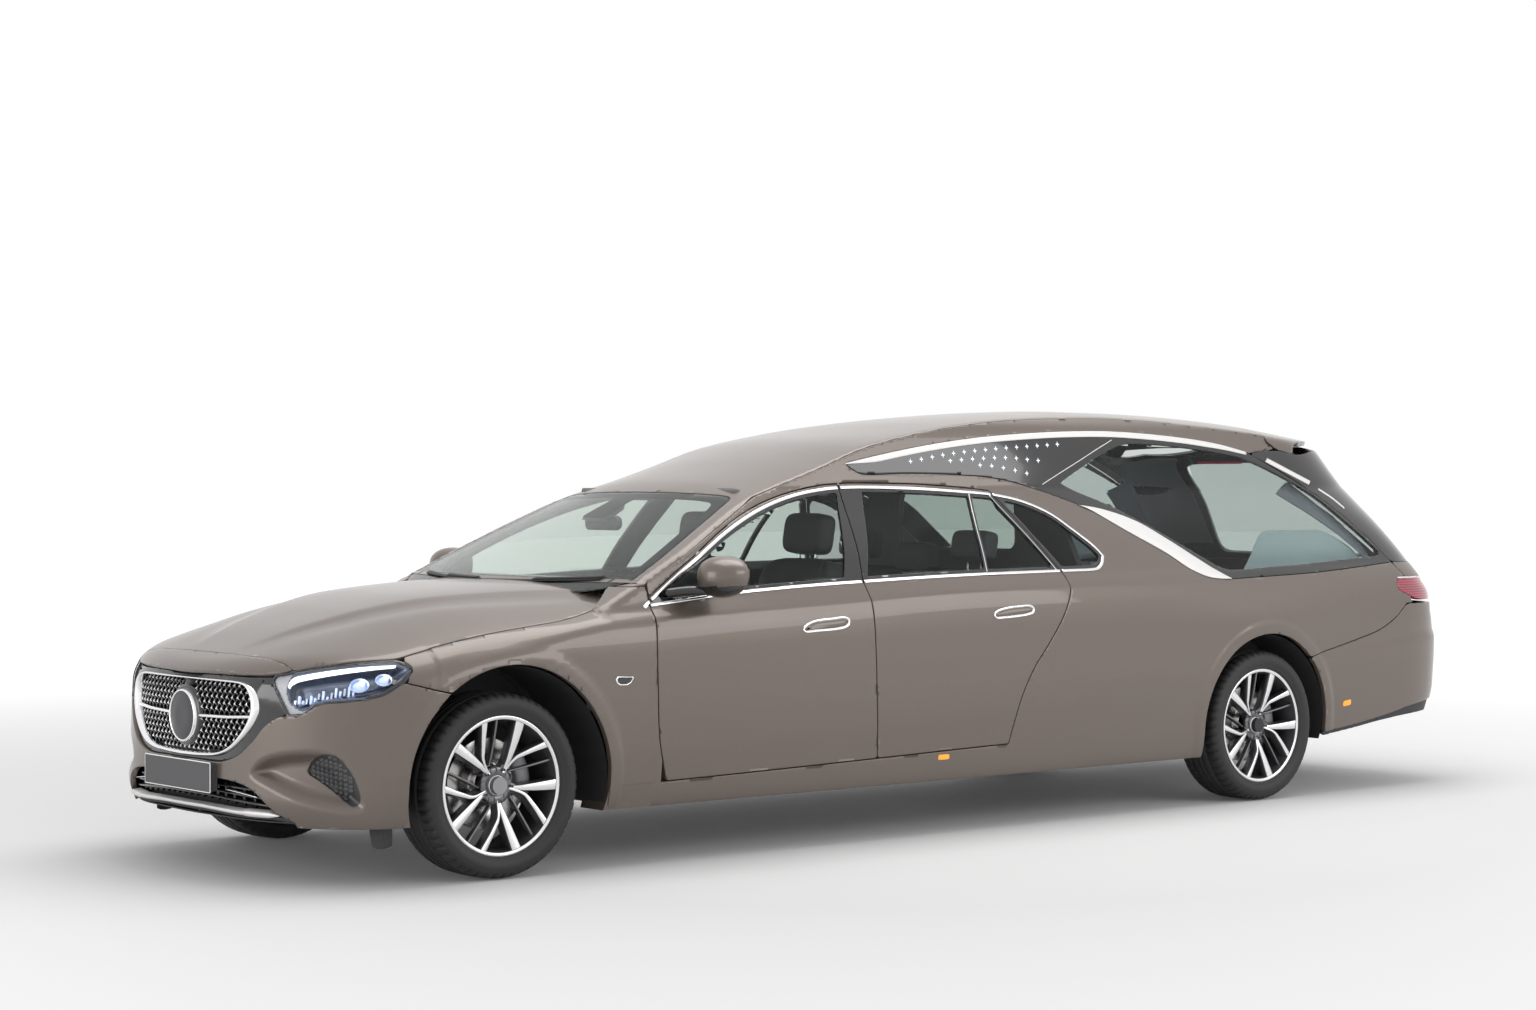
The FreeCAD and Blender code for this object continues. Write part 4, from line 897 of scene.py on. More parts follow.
# ---- Hood and wings
# The hood is a pressed steel lid hung on two hinges under its rear corners, and the nose panel over the
# grille moves with it. The wings are steel pressings bolted along the gutter beside it.
LAMP = curve([(567, 308), (575, 330)], [(649, 338), (779, 348), (870, 352), (950, 354), (1004, 353)],
             [(1030, 341), (1049, 321), (1052, 312)],
             [(1040, 296), (1025, 280), (1006, 265), (984, 252), (953, 236), (907, 227), (836, 222),
              (782, 222), (750, 219), (732, 215), (714, 205), (697, 196), (665, 190), (635, 189)],
             [(600, 250), (567, 308)])
HOOD_EDGE = ((-747, 0), (-746, 150), (-743, 300), (-733, 420), (-720, 530), (-716, 593), (-670, 650),
             (-623, 697),
             (-545, 755), (-472, 800), (-421, 824), (-327, 833), (-166, 837), (0, 840), (171, 842),
             (312, 841),
             (420, 826), (500, 802), (560, 768), (620, 722), (665, 690))
HOOD_REAR = ((640, 600), (590, 440), (545, 260), (515, 0))
hood_plan = curve(HOOD_EDGE, HOOD_REAR, step=9)
hood_plan = np.vstack([hood_plan, [(515, -60), (-747, -60)]])


def nose_set(y, z):
    """The middle of the nose is flatter than the form."""
    return 28 * (1 - ease(np.abs(y), 120, 520)) * (1 - ease(z, 735, 790))


def nose_form(x, y, z):
    return front_form(x, y, z) + nose_set(y, z)


# where rays to the nose start, and the arc its places are measured on
NOSE_HEART, NOSE_ARC = (-150.0, 0.0, 430.0), 800


def fan(s0, s1, t0, t1, step, inset=0.0, form=nose_form):
    """A grid of points round the nose, set in by a depth or by a function of the place, and their places."""
    s, t = spread(by_step(s0, s1, step), by_step(t0, t1, step))
    depth = inset(s, t) if callable(inset) else inset
    return cast(form, NOSE_HEART, arc_way(s, t, NOSE_ARC, -1), inset=depth), s, t


def fan_place(points):
    x, y, z = np.moveaxis(points - NOSE_HEART, -1, 0)
    return np.arctan2(-y, -x) * NOSE_ARC, np.arctan2(z, np.hypot(x, y)) * NOSE_ARC


x, y = spread((-770, 690, 92), (-850, 850, 108))
grid = cast(front_form, np.stack([x, y, np.full(x.shape, 500.0)], -1), (0.0, 0.0, 1.0), 800)
hood_field = inside_of(hood_plan, x, np.abs(y)) + 1.8
verts, faces = panel(grid, hood_field, depth=16, lip=2.4)
hood_skin = build("hood_skin", verts, faces, paint, "hood")
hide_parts("hood")
NOSE_TOP = curve([(-80, 487), (33, 487), (223, 474), (350, 452), (428, 434), (500, 417), (550, 398),
                  (604, 372), (644, 343)],
                 [(610, 337), (567, 333), (500, 338), (422, 346), (300, 360), (183, 369), (60, 371),
                  (-80, 371)],
                 [(-80, 487)])
grid, S, T = fan(-660, 660, 325, 492, step=9.0, form=front_form)
field = inside_of(NOSE_TOP, np.abs(S), T)
build("nose_panel", *panel(grid, field, depth=16, lip=2.4), paint, "hood")

body_form = lambda x, y, z: np.minimum(front_form(x, y, z), cabin_form(x, y, z))
grid = hoops(body_form, (-480, 742, 122), (-0.72, 1.0, 74), height=620.0, reach=1300)
X, Y, Z = np.moveaxis(grid, -1, 0)
S, T = fan_place(grid)
BUMPER_LINE = ((-480, 775), (-429, 760), (-380, 747), (-280, 721), (-200, 706))
bumper_z = column(BUMPER_LINE, X)
door_front = curve([(767, 321), (728, 480), (716, 700), (716, 860), (732, 1006)], [(732, 1400)],
                   [(1000, 1400)], [(1000, 321)], [(767, 321)])
fender = np.maximum.reduce([
    GAP - inside_of(hood_plan, X, np.abs(Y)), GAP - inside_of(LAMP, S, T),
    np.where(X < -150, bumper_z + GAP - Z, -FAR), outside_arches(X, Z), 228 - Z,
    GAP - inside_of(door_front, X, Z), Z - 1085])
verts, faces = both_sides(*panel(grid, fender, depth=24, back=False))
fender_skin = build("wing_skins", verts, faces, paint)
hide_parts("fenders")


# ---- Front bumper
# A moulded plastic cover in body colour, clipped to the wings and the crash beam. It has a black lower
# intake with a silver skid strip, and a scooped corner each side that ends in a blanked scale mesh.
BLACKOUT = curve([(-80, 366), (60, 366), (183, 364), (300, 356), (422, 341), (500, 333), (571, 328)],
                 [(567, 308)], [(600, 250), (635, 190)],
                 [(594, 185), (543, 157), (489, 104), (417, 53), (337, 27), (279, 20), (126, 22), (-80, 23)],
                 [(-80, 366)])
LOWER = curve([(-80, -45), (310, -46), (380, -48), (431, -54), (470, -64), (502, -78), (540, -106),
               (579, -136),
               (615, -155), (665, -172)], [(665, -330)], [(-80, -330)],
              [(-80, -45)])
SCOOP = curve([(470, -20), (479, 5), (498, 28), (523, 47), (560, 62), (605, 72), (660, 78), (720, 80),
               (770, 74),
               (815, 54), (850, 18), (877, -25), (893, -70), (897, -105), (885, -122)],
              [(840, -128), (760, -120), (660, -98), (560, -62), (500, -38), (470, -20)])
SCOOP_TOP = SCOOP[:int(len(SCOOP) * 0.52)]
TEAR = curve([(700, 0), (712, 25), (735, 47), (760, 58), (785, 59), (812, 48), (836, 22), (857, -12),
              (872, -50),
              (878, -80), (874, -98), (858, -104), (832, -91), (795, -66), (752, -36), (715, -14)],
              [(700, 0)])


def from_line(line, u, v):
    """Distance to an open line."""
    best = np.full(np.shape(u), 1e9)
    for a, b in zip(line[:-1:2], line[2::2]):
        e = b - a
        t = np.clip(((u - a[0]) * e[0] + (v - a[1]) * e[1]) / max(e @ e, 1e-9), 0, 1)
        best = np.minimum(best, np.hypot(u - a[0] - t * e[0], v - a[1] - t * e[1]))
    return best


def scoop(s, t):
    side = np.abs(s)
    depth = -inside_of(SCOOP, side, t)
    drop = ease(depth, 0, 60)
    return np.where(depth > 0, 38 * ease(from_line(SCOOP_TOP, side, t), 0, 24) * drop, 0)


grid, S, T = fan(-1175, 1175, -215, 345, step=8.5, inset=scoop)
X, Z, side = grid[..., 0], grid[..., 2], np.abs(S)
field = np.maximum.reduce([
    GAP - inside_of(LAMP, side, T), 1.0 - inside_of(BLACKOUT, side, T), -inside_of(LOWER, side, T),
    -inside_of(TEAR, side, T), Z - column(BUMPER_LINE, X) + GAP * (X > -431), outside_arches(X, Z),
    222 - Z, T - 345, X + 240])
verts, faces = panel(grid, field, depth=22, back=False, lip=2.2)
bumper_skin = build("front_bumper_skin", verts, faces, paint)
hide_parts("front_bumper")
dark_satin = grained("dark_satin", (0.05, 0.05, 0.055), 0.35, 120, 0.08, even_gloss=True)
scale_gray = grained("scale_gray", (0.10, 0.10, 0.105), 0.5, 90, 0.2)


def on_nose(s, t, inset):
    """Points on the nose at places round it, set in by some depth."""
    s, t, inset = np.broadcast_arrays(np.atleast_1d(s), t, inset)
    return cast(nose_form, NOSE_HEART, arc_way(s, t, NOSE_ARC, -1), inset=inset)


def on_face(y, z, inset, form=nose_form, start_x=NOSE_HEART[0], reach=1700.0):
    """Points on the nose straight behind places on a front view, set in by some depth."""
    y, z, inset = np.broadcast_arrays(np.atleast_1d(y), z, inset)
    return cast(form, np.stack([np.full(y.shape, start_x), y, z], -1), (-1.0, 0.0, 0.0), reach, inset)


def even(path, count):
    """The same path with its points evenly spread."""
    path = np.asarray(path, float)
    run = np.concatenate([[0], np.cumsum(np.linalg.norm(np.diff(path, axis=0), axis=1))])
    at = np.linspace(0, run[-1], count)
    return np.stack([np.interp(at, run, path[:, k]) for k in range(2)], 1)


def strip(low, high, profile, where, closed=False):
    """A strip between two lines: the profile gives how far across and how far out each edge lies."""
    rows = [where(*(low + (high - low) * mix).T, -out) for mix, out in profile]
    faces = grid_faces(len(profile), len(low), closed)
    return np.vstack(rows), faces if closed else faces + row_ends(len(profile), len(low))


def facing(verts, faces, way=(-1.0, 0.0, 0.0)):
    """Turns a strip's faces so that most of them look the given way."""
    normals = sum((np.cross(verts[f[1]] - verts[f[0]], verts[f[2]] - verts[f[1]]) for f in faces
                   if len(f) == 4), np.zeros(3))
    return (verts, faces) if normals @ np.asarray(way) > 0 else flip(verts, faces)


x, y = spread((-870, -425, 24), (-900, 900, 46))
verts, faces = panel(np.stack([x, y, np.full(x.shape, 236)], 2), nose_form(x, y, 240 + 0 * x) + 14, depth=5,
                     lip=1.0, over=True)
build("nose_tray", verts, faces, trim_black)
grid, S, T = fan(-640, 640, -190, -30, step=9.0, inset=62)
field = inside_of(LOWER, np.abs(S), T) - 14
build("lower_intake_back", *panel(grid, field, depth=8, lip=1.0), trim_black)
verts, faces = [], []
for level, reach in ((-78, 470), (-104, 520), (-130, 565)):
    line = even([(-reach, level), (reach, level)], 60)
    v, f = facing(*strip(line + (0, -5), line + (0, 5), ((0, -60), (0, -26), (0.5, -22), (1, -26), (1, -60)),
                         on_nose))
    faces += shifted(f, len(verts))
    verts += v.tolist()
for s in range(-480, 481, 60):
    line = even([(s, -152), (s, -62)], 6)
    v, f = facing(*strip(line + (-3, 0), line + (3, 0), ((0, -60), (0, -34), (1, -34), (1, -60)), on_nose))
    faces += shifted(f, len(verts))
    verts += v.tolist()
build("lower_intake_slats", np.array(verts), faces, gloss_black)
for sign in (-1, 1):
    line = even([(sign * 330, -88), (sign * 420, -92), (sign * 505, -99)], 24)
    v, f = facing(*strip(line + (0, -2), line + (0, 2), ((0, -30), (0, -14), (0.5, -12), (1, -14), (1, -30)),
                         on_nose))
    build("intake_glint_%s" % ("left" if sign > 0 else "right"), v, f, bright_trim)
skid = even(curve([(-603, -152), (-469, -162), (-364, -169), (-113, -176), (113, -176), (364, -169),
                   (469, -162), (603, -152)],
                  step=12, closed=False), 120)
wide = np.interp(np.abs(skid[:, 0]), (0, 430, 452, 560, 603), (15, 15, 21, 20, 3))
verts, faces = facing(*strip(skid - np.stack([0 * wide, wide / 2 + 1], 1),
                             skid + np.stack([0 * wide, wide / 2], 1),
                             ((0, -30), (0, 1), (0.2, 5), (0.8, 3), (1, -3), (1, -30)), on_nose))
build("skid_strip", verts, faces, silver)
lip = even(curve([(-700, -178), (-603, -166), (-364, -184), (-113, -192), (113, -192), (364, -184),
                  (603, -166), (700, -178)],
                 step=12, closed=False), 120)
verts, faces = facing(*strip(lip + (0, -9), lip + (0, 7), ((0, -40), (0, -7), (0.3, -3), (1, -3), (1, -40)),
                             on_nose))
build("lower_lip", verts, faces, trim_black)
# the corner mesh: blanked scales set in rows
grid, S, T = fan(640, 920, -125, 80, step=6.0, inset=lambda s, t: scoop(s, t) + 9)
verts, faces = both_sides(*panel(grid, inside_of(TEAR, S, T) - 5, depth=10, lip=1.0))
build("corner_mesh_back", verts, faces, dark_satin)
scales = []
for row in range(14):
    for k in range(14):
        s, t = 690 + 15.5 * k - 7 * row + 7.75 * (row % 2), 90 - 13.0 * row - 4.4 * k
        if inside_of(TEAR, np.array([s]), np.array([t]))[0] <= -6:
            scales += [(s + u, t + v, rise) for u, v, rise in (
                (-8.2, 1, 7.5), (-5, -5.5, 2.5), (5, -5.5, 2.5), (8.2, 1, 7.5), (5, 5.5, 8.5), (-5, 5.5, 8.5),
                (0, 0, 3))]
s, t, rise = np.array(scales).T
faces = [[k + n, k + (n + 1) % 6, k + 6] for k in range(0, len(scales), 7) for n in range(6)]
verts = on_nose(s, t, scoop(s, t) + rise)
if sum(np.cross(verts[f[1]] - verts[f[0]], verts[f[2]] - verts[f[1]])[1] for f in faces) > 0:
    faces = flipped(faces)
verts, faces = both_sides(verts, faces)
build("corner_mesh_scales", verts, faces, scale_gray, smooth_faces=False)
# a small stiffening bracket hangs below each corner, and a tow eye below the middle
for name, s, half, drop in (("corner_bracket", 942, 34, 76), ("tow_tab", 95, 16, 26)):
    verts, faces = [], []
    for k, part in enumerate(np.linspace(-1, 1, 5)):
        top = on_nose(s + part * half, -180, 16)[0]
        for depth in (0, 12):
            for down in (0, 1):
                verts.append(top + (depth, 0, -drop * (1 - 0.12 * part * part) if down else 6))
                if down:
                    verts[-1] += (6, 0.35 * part * half, 0)
    for k in range(4):
        a, b = 4 * k, 4 * k + 4
        faces += [[a, a + 1, b + 1, b], [a + 2, b + 2, b + 3, a + 3], [a + 1, a + 3, b + 3, b + 1],
                  [a, b, b + 2, a + 2]]
    faces += [[0, 2, 3, 1], [16, 17, 19, 18]]
    v, f = both_sides(np.array(verts), faces) if s > 200 else (np.array(verts), faces)
    build(name, v, f, trim_black, smooth_faces=False)


# ---- Number plate
# A blank anodised plate with a fine bright edge, on a black carrier screwed to the bumper.
def rounded_box(size_y, size_z, radius, levels):
    """A plate seen from the front: rounded rings at (depth, inset) levels, closed at both ends."""
    rings, per_corner = [], 6
    for x, inset in levels:
        for cy, cz, turn in ((1, 1, 0), (-1, 1, 90), (-1, -1, 180), (1, -1, 270)):
            for k in range(per_corner + 1):
                a = math.radians(turn + 90 * k / per_corner)
                r = max(radius - inset, 0.3)
                rings.append((x, cy * (size_y / 2 - radius) + r * math.cos(a),
                              cz * (size_z / 2 - radius) + r * math.sin(a)))
    n = 4 * (per_corner + 1)
    return np.array(rings), [[a, d, c, b] for a, b, c,
                             d in grid_faces(len(levels), n)] + ring_ends(len(levels), n)


plate_gray = grained("plate_gray", (0.115, 0.115, 0.12), 0.45, 300, 0.05, metal=0.3)
PLATE_UP = 388  # height of the plate's middle
carrier, carrier_faces = rounded_box(512, 104, radius=8, levels=((-846, 0), (-872, 0), (-873, 1)))
build("plate_carrier", *facing(carrier + (0, 0, PLATE_UP), carrier_faces), trim_black)
face_rings, face_faces = rounded_box(520, 116, radius=6,
                                     levels=((-872, 0.6), (-873, 0), (-877, 0), (-878, 1.0), (-878, 4.0),
                                             (-877, 5.0)))
plate = build("blank_front_plate", face_rings + (0, 0, PLATE_UP), flipped(face_faces),
              [plate_gray, bright_trim], smooth_faces=False)
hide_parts("front_plate")
for polygon in plate.data.polygons:
    ring = min(polygon.vertices) // (len(face_rings) // 6)
    if 2 <= ring <= 3 and len(polygon.vertices) == 4:
        polygon.material_index = 1


# ---- Grille
# A die cast bright ring around a moulded black lattice with a small bright point at every second knot.
# A blank radar disc sits in the middle of it, and black trim joins the ring to the headlamps.
RING_OUT = ((0, 758), (160, 758), (300, 758), (345, 757), (398, 752), (440, 737), (471, 702), (481, 652),
            (463, 603),
            (428, 560), (370, 513), (330, 491), (290, 477), (240, 467), (150, 460), (0, 457))
RING_IN = ((0, 747), (160, 745), (300, 745), (345, 745), (393, 740), (419, 726), (436, 692), (440, 650),
           (422, 603),
           (390, 562), (352, 527), (312, 505), (280, 493), (235, 484), (150, 478), (0, 475))


def whole_ring(half, count):
    """A closed loop from the left half of an outline."""
    side = curve([(-y, z) for y, z in half], step=8, closed=False)
    return even(np.vstack([side, (side * (-1, 1))[::-1][1:]]), count + 1)[:-1]


ring_out, ring_in = whole_ring(RING_OUT, 160), whole_ring(RING_IN, 160)
grid, S, T = fan(-650, 650, 10, 372, step=8.0, inset=11)
Y, Z = grid[..., 1], grid[..., 2]
field = np.maximum(inside_of(BLACKOUT, np.abs(S), T) + 1.5, -inside_of(ring_out, Y, Z) - 8)
build("grille_surround", *panel(grid, field, depth=20, lip=2.0), gloss_black)
ring_shape = ((0, -30), (0, -9), (0.1, -3), (0.3, 2), (0.55, 2), (0.8, -4), (1, -13), (1, -44))
verts, faces = facing(*strip(ring_out, ring_in, ring_shape, on_face, closed=True))
build("grille_ring", verts, faces, bright_trim)
y, z = spread((-470, 470, 100), (465, 755, 34))
back = on_face(y, z, 52)
grille_back = build("grille_back", *panel(back, inside_of(ring_out, y, z) + 6, depth=6, over=True, lip=1.0),
                    trim_black)
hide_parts("grille")


PITCH, ROW, MESH_UP = 33.7, 22.4, 622  # spacing of the knots, and the height of the middle row
DISC_UP = 607.0  # height of the radar disc
bars, points = [], []
for row in range(-8, 8):
    for k in range(-15, 16):
        y, z = k * PITCH + PITCH / 2 * (row % 2), MESH_UP + row * ROW
        inside = inside_of(ring_in, np.array([y]), np.array([z]))[0]
        if inside > 4 or math.hypot(y, z - DISC_UP) < 116 or (abs(y) < 24 and z > 690):
            continue
        knot = np.array([y, z])
        for a, b in (((0, 0), (0, 9)), ((0, 9), (PITCH / 2, ROW)), ((0, 9), (-PITCH / 2, ROW))):
            a, b = np.array(a), np.array(b)
            side = np.array([-(b - a)[1], (b - a)[0]]) * 1.6 / np.hypot(*(b - a))
            bars += [(*(knot + c), depth) for depth in (22, 36)
                     for c in (a + side, b + side, b - side, a - side)]
        if inside <= -7 and abs(z - MESH_UP) > 12:
            points += [(y + u, z + v, depth) for u, v, depth in (
                (0, 9.5, 21), (-2.2, 0.8, 19), (-8.5, -5.5, 21), (0, -2.8, 19), (8.5, -5.5, 21),
                (2.2, 0.8, 19), (0, 0.6, 14))]
faces = [f for k in range(0, len(bars), 8)
         for f in shifted(((0, 1, 2, 3), (0, 4, 5, 1), (2, 6, 7, 3), (1, 5, 6, 2), (3, 7, 4, 0)), k)]
build("grille_lattice", *facing(on_face(*np.array(bars).T), faces), gloss_black, smooth_faces=False)
verts = on_face(*np.array(points).T)
faces = [[k + 6, k + (n + 1) % 6, k + n] for k in range(0, len(points), 7) for n in range(6)]
if sum(np.cross(verts[f[1]] - verts[f[0]], verts[f[2]] - verts[f[1]])[0] for f in faces) > 0:
    faces = flipped(faces)
build("grille_points", verts, faces, bright_trim, smooth_faces=False)
disc_x = on_face(0.0, DISC_UP, 10)[0][0]
for name, rings, material in (
        ("radar_disc", ((0, 6), (40, 7), (88, 6.5), (91, 5), (93, 0), (93, -14)), dark_satin),
        ("disc_ring", ((92, -8), (92, 6), (94, 9), (98, 9), (101, 5), (101, -14)), bright_trim),
        ("disc_collar", ((100, -12), (101, -2), (112, -6), (120, -12), (120, -30)), gloss_black)):
    turn = circle(64)
    verts = np.vstack([np.stack([disc_x - out + 0 * turn, radius * np.cos(turn),
                                 DISC_UP + radius * np.sin(turn)], 1)
                       for radius, out in rings])
    faces = grid_faces(len(rings), len(turn))
    faces = [f for f in faces if len({tuple(np.round(verts[i], 4)) for i in f}) > 2]
    build(name, *facing(verts, faces), material)
post = even([(0, 700), (0, 750)], 5)
verts, faces = facing(*strip(post + (-21, 0), post + (21, 0),
                             ((0, -40), (0, -14), (0.2, -10), (0.8, -10), (1, -14), (1, -40)), on_face))
build("disc_post", verts, faces, dark_satin)
for side in (-1, 1):
    line = even([(side * 112, 613), (side * 300, 617), (side * 443, 625)], 30)
    verts, faces = facing(*strip(line + (0, -6), line + (0, 6),
                                 ((0, -40), (0, -13), (0.25, -9), (0.75, -9), (1, -13), (1, -40)), on_face))
    build("grille_bar_%s" % ("left" if side < 0 else "right"), verts, faces, bright_trim)


# ---- Headlamps
# Clear moulded covers over a black bowl with a bright light bar along its top, two lens modules and a
# satin bezel at the inner end, each a sealed unit screwed behind the wing.
lamp_shell = grained("lamp_shell", (0.10, 0.12, 0.17), 0.2, 40, 0.05, metal=0.6, even_gloss=True,
                     Coat_Weight=0.5)
lamp_satin = grained("lamp_satin", (0.50, 0.50, 0.52), 0.35, 160, 0.05, metal=0.7)
lamp_mirror = grained("lamp_mirror", (0.62, 0.70, 0.86), 0.12, 50, 0.05, metal=1.0, dark=0.9, even_gloss=True)
cover_clear = shader("lamp_cover", (0.98, 0.99, 1.0), 0.0, Transmission_Weight=1.0, IOR=1.15)


def glowing(name, low_color, high_color, strength):
    """A light emitting material whose colour drifts a little along it."""
    made = shader(name, high_color, 0.4)
    tree = made.node_tree
    tree.nodes["Principled BSDF"].inputs["Emission Strength"].default_value = strength
    drift = node(tree, "ShaderNodeTexNoise", {"Scale": 14.0, "Detail": 1.0})
    colors = node(tree, "ShaderNodeMix", {"A": (*low_color, 1), "B": (*high_color, 1)}, data_type="RGBA")
    wire(tree, drift, "Fac", colors, "Factor")
    wire(tree, colors, "Result", tree.nodes["Principled BSDF"], "Emission Color")
    return made


# white glow of the light bars, also used as a painted highlight: the glint on each lens
lamp_light_and_painted_glint = glowing("lamp_light_and_painted_glint", (0.85, 0.92, 1.0), (1.0, 1.0, 1.0), 1.6)
# painted reflection: this glow makes the lamp blades and the lens faces shine pale blue, though they are no
# lamp
painted_blue_reflection = glowing("painted_blue_reflection", (0.10, 0.15, 0.34), (0.62, 0.72, 0.92), 0.8)
BEZEL = curve([(560, 308), (570, 334)], [(648, 334)],
              [(636, 312), (630, 285), (632, 250), (648, 225), (702, 196)],
              [(665, 186), (635, 185)], [(594, 250), (560, 308)])
bowl = lambda s, t: 12 + 58 * ease(-inside_of(LAMP, s, t), 6,
                                   46) * (inside_of(BEZEL, s, t) > 0) * ease(inside_of(BEZEL, s, t), 0, 22)
grid, S, T = fan(555, 1062, 178, 362, step=5.5, inset=bowl)
verts, faces = cut_grid(grid, inside_of(LAMP, S, T) - 4)
shade = inside_of(BEZEL, *fan_place(np.array([verts[list(f)].mean(0) for f in faces])))
verts, faces = with_edge(verts, faces, depth=14, lip=1.0)
flags = np.zeros(len(faces), int)
flags[:len(shade)] = shade < 0
verts, faces = both_sides(verts, faces)
shell_piece = build("lamp_bowls", verts, faces, [lamp_shell, lamp_satin],
                    flags=np.concatenate([flags, flags]))
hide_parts("headlamps")
grid, S, T = fan(555, 1062, 178, 362, step=7.0)
verts, faces = both_sides(*panel(grid, inside_of(LAMP, S, T) + 0.5, depth=4, lip=0.8))
build("lamp_covers", verts, faces, cover_clear)
grid, S, T = fan(555, 1062, 178, 362, step=5.0, inset=5)
field = np.maximum(inside_of(LAMP, S, T) + 0.5,
                   -inside_of(LAMP, S, T) - np.where(T > 300, 6, np.where(S > 900, 10, 5)))
verts, faces = both_sides(*panel(grid, field, depth=8, lip=0.5))
build("lamp_rims", verts, faces, gloss_black)
bar_line = even(curve([(633, 284), (637, 300), (652, 313), (690, 320), (779, 328), (870, 333), (950, 335),
                       (1004, 334)], step=6, closed=False), 90)
thick = np.interp(np.arange(len(bar_line)), (0, 8, 60, 89), (7, 11, 9, 4))
along = np.gradient(bar_line, axis=0)
across = np.stack([-along[:, 1], along[:, 0]], 1) / np.linalg.norm(along, axis=1)[:, None]
verts, faces = strip(bar_line - across * thick[:, None] / 2, bar_line + across * thick[:, None] / 2,
                     ((0, -40), (0, -17), (0.25, -14), (0.75, -14), (1, -17), (1, -40)), on_nose)
verts, faces = both_sides(*facing(verts, faces, (-0.7, -0.7, 0)))
build("light_bars", verts, faces, lamp_light_and_painted_glint)
box = ((0, 1, 2, 3), (4, 7, 6, 5), (0, 4, 5, 1), (1, 5, 6, 2), (2, 6, 7, 3), (3, 7, 4, 0))
verts, faces, flags = [], [], []
for k in range(15):
    s, tall = 652 + 14.5 * k, 17 + 9 * math.sin(2.1 * k) + 0.5 * k
    t = 226 + 0.11 * (s - 652) + 4 * math.sin(1.3 * k)
    corners = ((s, t), (s + 6.5, t + 1), (s + 10, t + tall), (s + 2.5, t + tall))
    verts += [on_nose(np.array([a]), np.array([b]), inset)[0] for inset in (24, 44) for a, b in corners]
    faces += shifted(box, 8 * k)
    flags += [0 if k % 3 else 1] * 6
verts, faces = both_sides(np.array(verts), faces)
build("lamp_blades", verts, faces, [painted_blue_reflection, lamp_mirror], smooth_faces=False,
              flags=flags + flags)
MODULES = ((878, 273, 31, 25), (957, 286, 27, 22))
# each module: a mirror cup, a lens in the painted blue reflection, and a glint, a painted highlight that
# glows as a small white spot on the lens
for k, (s, t, wide, tall) in enumerate(MODULES):
    for name, rings, material in (
            ("cup", ((1.0, 20), (1.0, 14), (0.92, 14), (0.80, 34), (0.62, 46)), lamp_mirror),
            ("lens", ((0.72, 40), (0.66, 26), (0.46, 18), (0.2, 15), (0.0, 14)), painted_blue_reflection),
            ("glint", ((0.34, 17), (0.30, 13), (0.16, 11), (0.0, 10.5)), lamp_light_and_painted_glint)):
        turn = circle(28)
        n, last = len(turn), (len(rings) - 1) * len(turn)
        shift = (0.0, 0.0) if name != "glint" else (wide * 0.25, tall * 0.3)
        rows = []
        for share, inset in rings:
            reach = share * np.abs(np.cos(2 * turn) * 0.06 + 0.97)
            rows.append(on_nose(s + shift[0] + wide * reach * np.cos(turn),
                                t + shift[1] + tall * reach * np.sin(turn), inset))
        verts = np.vstack(rows)
        faces = [f for f in grid_faces(len(rings), n) if np.linalg.norm(verts[f[2]] - verts[f[3]]) > 1e-6]
        if rings[-1][0] == 0:
            faces += [[last - n + i, last - n + (i + 1) % n, last] for i in range(n)]
        verts, faces = both_sides(*facing(verts, faces, (-0.7, -0.7, 0)))
        build("lamp_%s_%d" % (name, k + 1), verts, faces, material)


# ---- Roof and windscreen
# One long roof pressing runs down into both windscreen pillars and is welded along the cant rails. The
# laminated screen is bonded in it with a black printed border, two wipers lie at its foot.
SCREEN_OUT = curve([(0, 1455), (300, 1451), (500, 1442), (566, 1434), (596, 1420)],
                   [(626, 1382), (694, 1284), (752, 1184), (786, 1100)],
                   [(700, 1075), (400, 1045), (0, 1030)])
SCREEN_OUT = np.vstack([SCREEN_OUT, [(-80, 1030), (-80, 1455)]])
SCREEN_IN = curve([(0, 1428), (300, 1424), (480, 1415), (540, 1405), (566, 1388)],
                  [(608, 1330), (665, 1242), (712, 1160), (728, 1128)],
                  [(640, 1116), (380, 1104), (0, 1098)])
SCREEN_IN = np.vstack([SCREEN_IN, [(-80, 1098), (-80, 1428)]])
grid = hoops(cabin_form, (640, 4760, 190), (*OVER, 132), height=1000.0, reach=1200)
X, Y, Z = np.moveaxis(grid, -1, 0)
rail_z = column(ROOF, X, 2) - 4
side_edge = np.minimum(rail_z - Z, X - screen_face(Y, Z) - 30)
roof_field = np.maximum.reduce([side_edge + 0.8, 2.0 - inside_of(SCREEN_OUT, np.abs(Y), Z), 1086 - Z,
                                GAP - inside_of(TAIL_EDGE, X, Z)])
roof_skin = build("roof_skin", *panel(grid, roof_field, depth=24, lip=1.6), paint)
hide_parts("roof")


def on_screen(y, z, inset):
    """Points on the windscreen straight behind places on a front view, set in by some depth."""
    return on_face(y, z, inset, cabin_form, 2050.0, 1900)


y, z = spread((-800, 800, 84), (1040, 1460, 32))
field = inside_of(SCREEN_OUT, np.abs(y), z) + 1.5
screen_pane = build("windscreen_pane", *panel(on_screen(y, z, 1.0), field, depth=5, over=True, lip=0.6),
                    clear_glass)
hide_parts("windscreen")
patch = np.maximum(np.abs(y) - 70 - (1440 - z) * 0.15, 1345 - z)
field = np.maximum(inside_of(SCREEN_OUT, np.abs(y), z) + 3, -inside_of(SCREEN_IN, np.abs(y), z))
field = np.minimum(field, np.maximum(patch, inside_of(SCREEN_OUT, np.abs(y), z) + 3))
verts, faces = panel(on_screen(y, z, 7.0), field, depth=1.5, over=True, lip=0.4)
build("windscreen_print", verts, faces, trim_black)
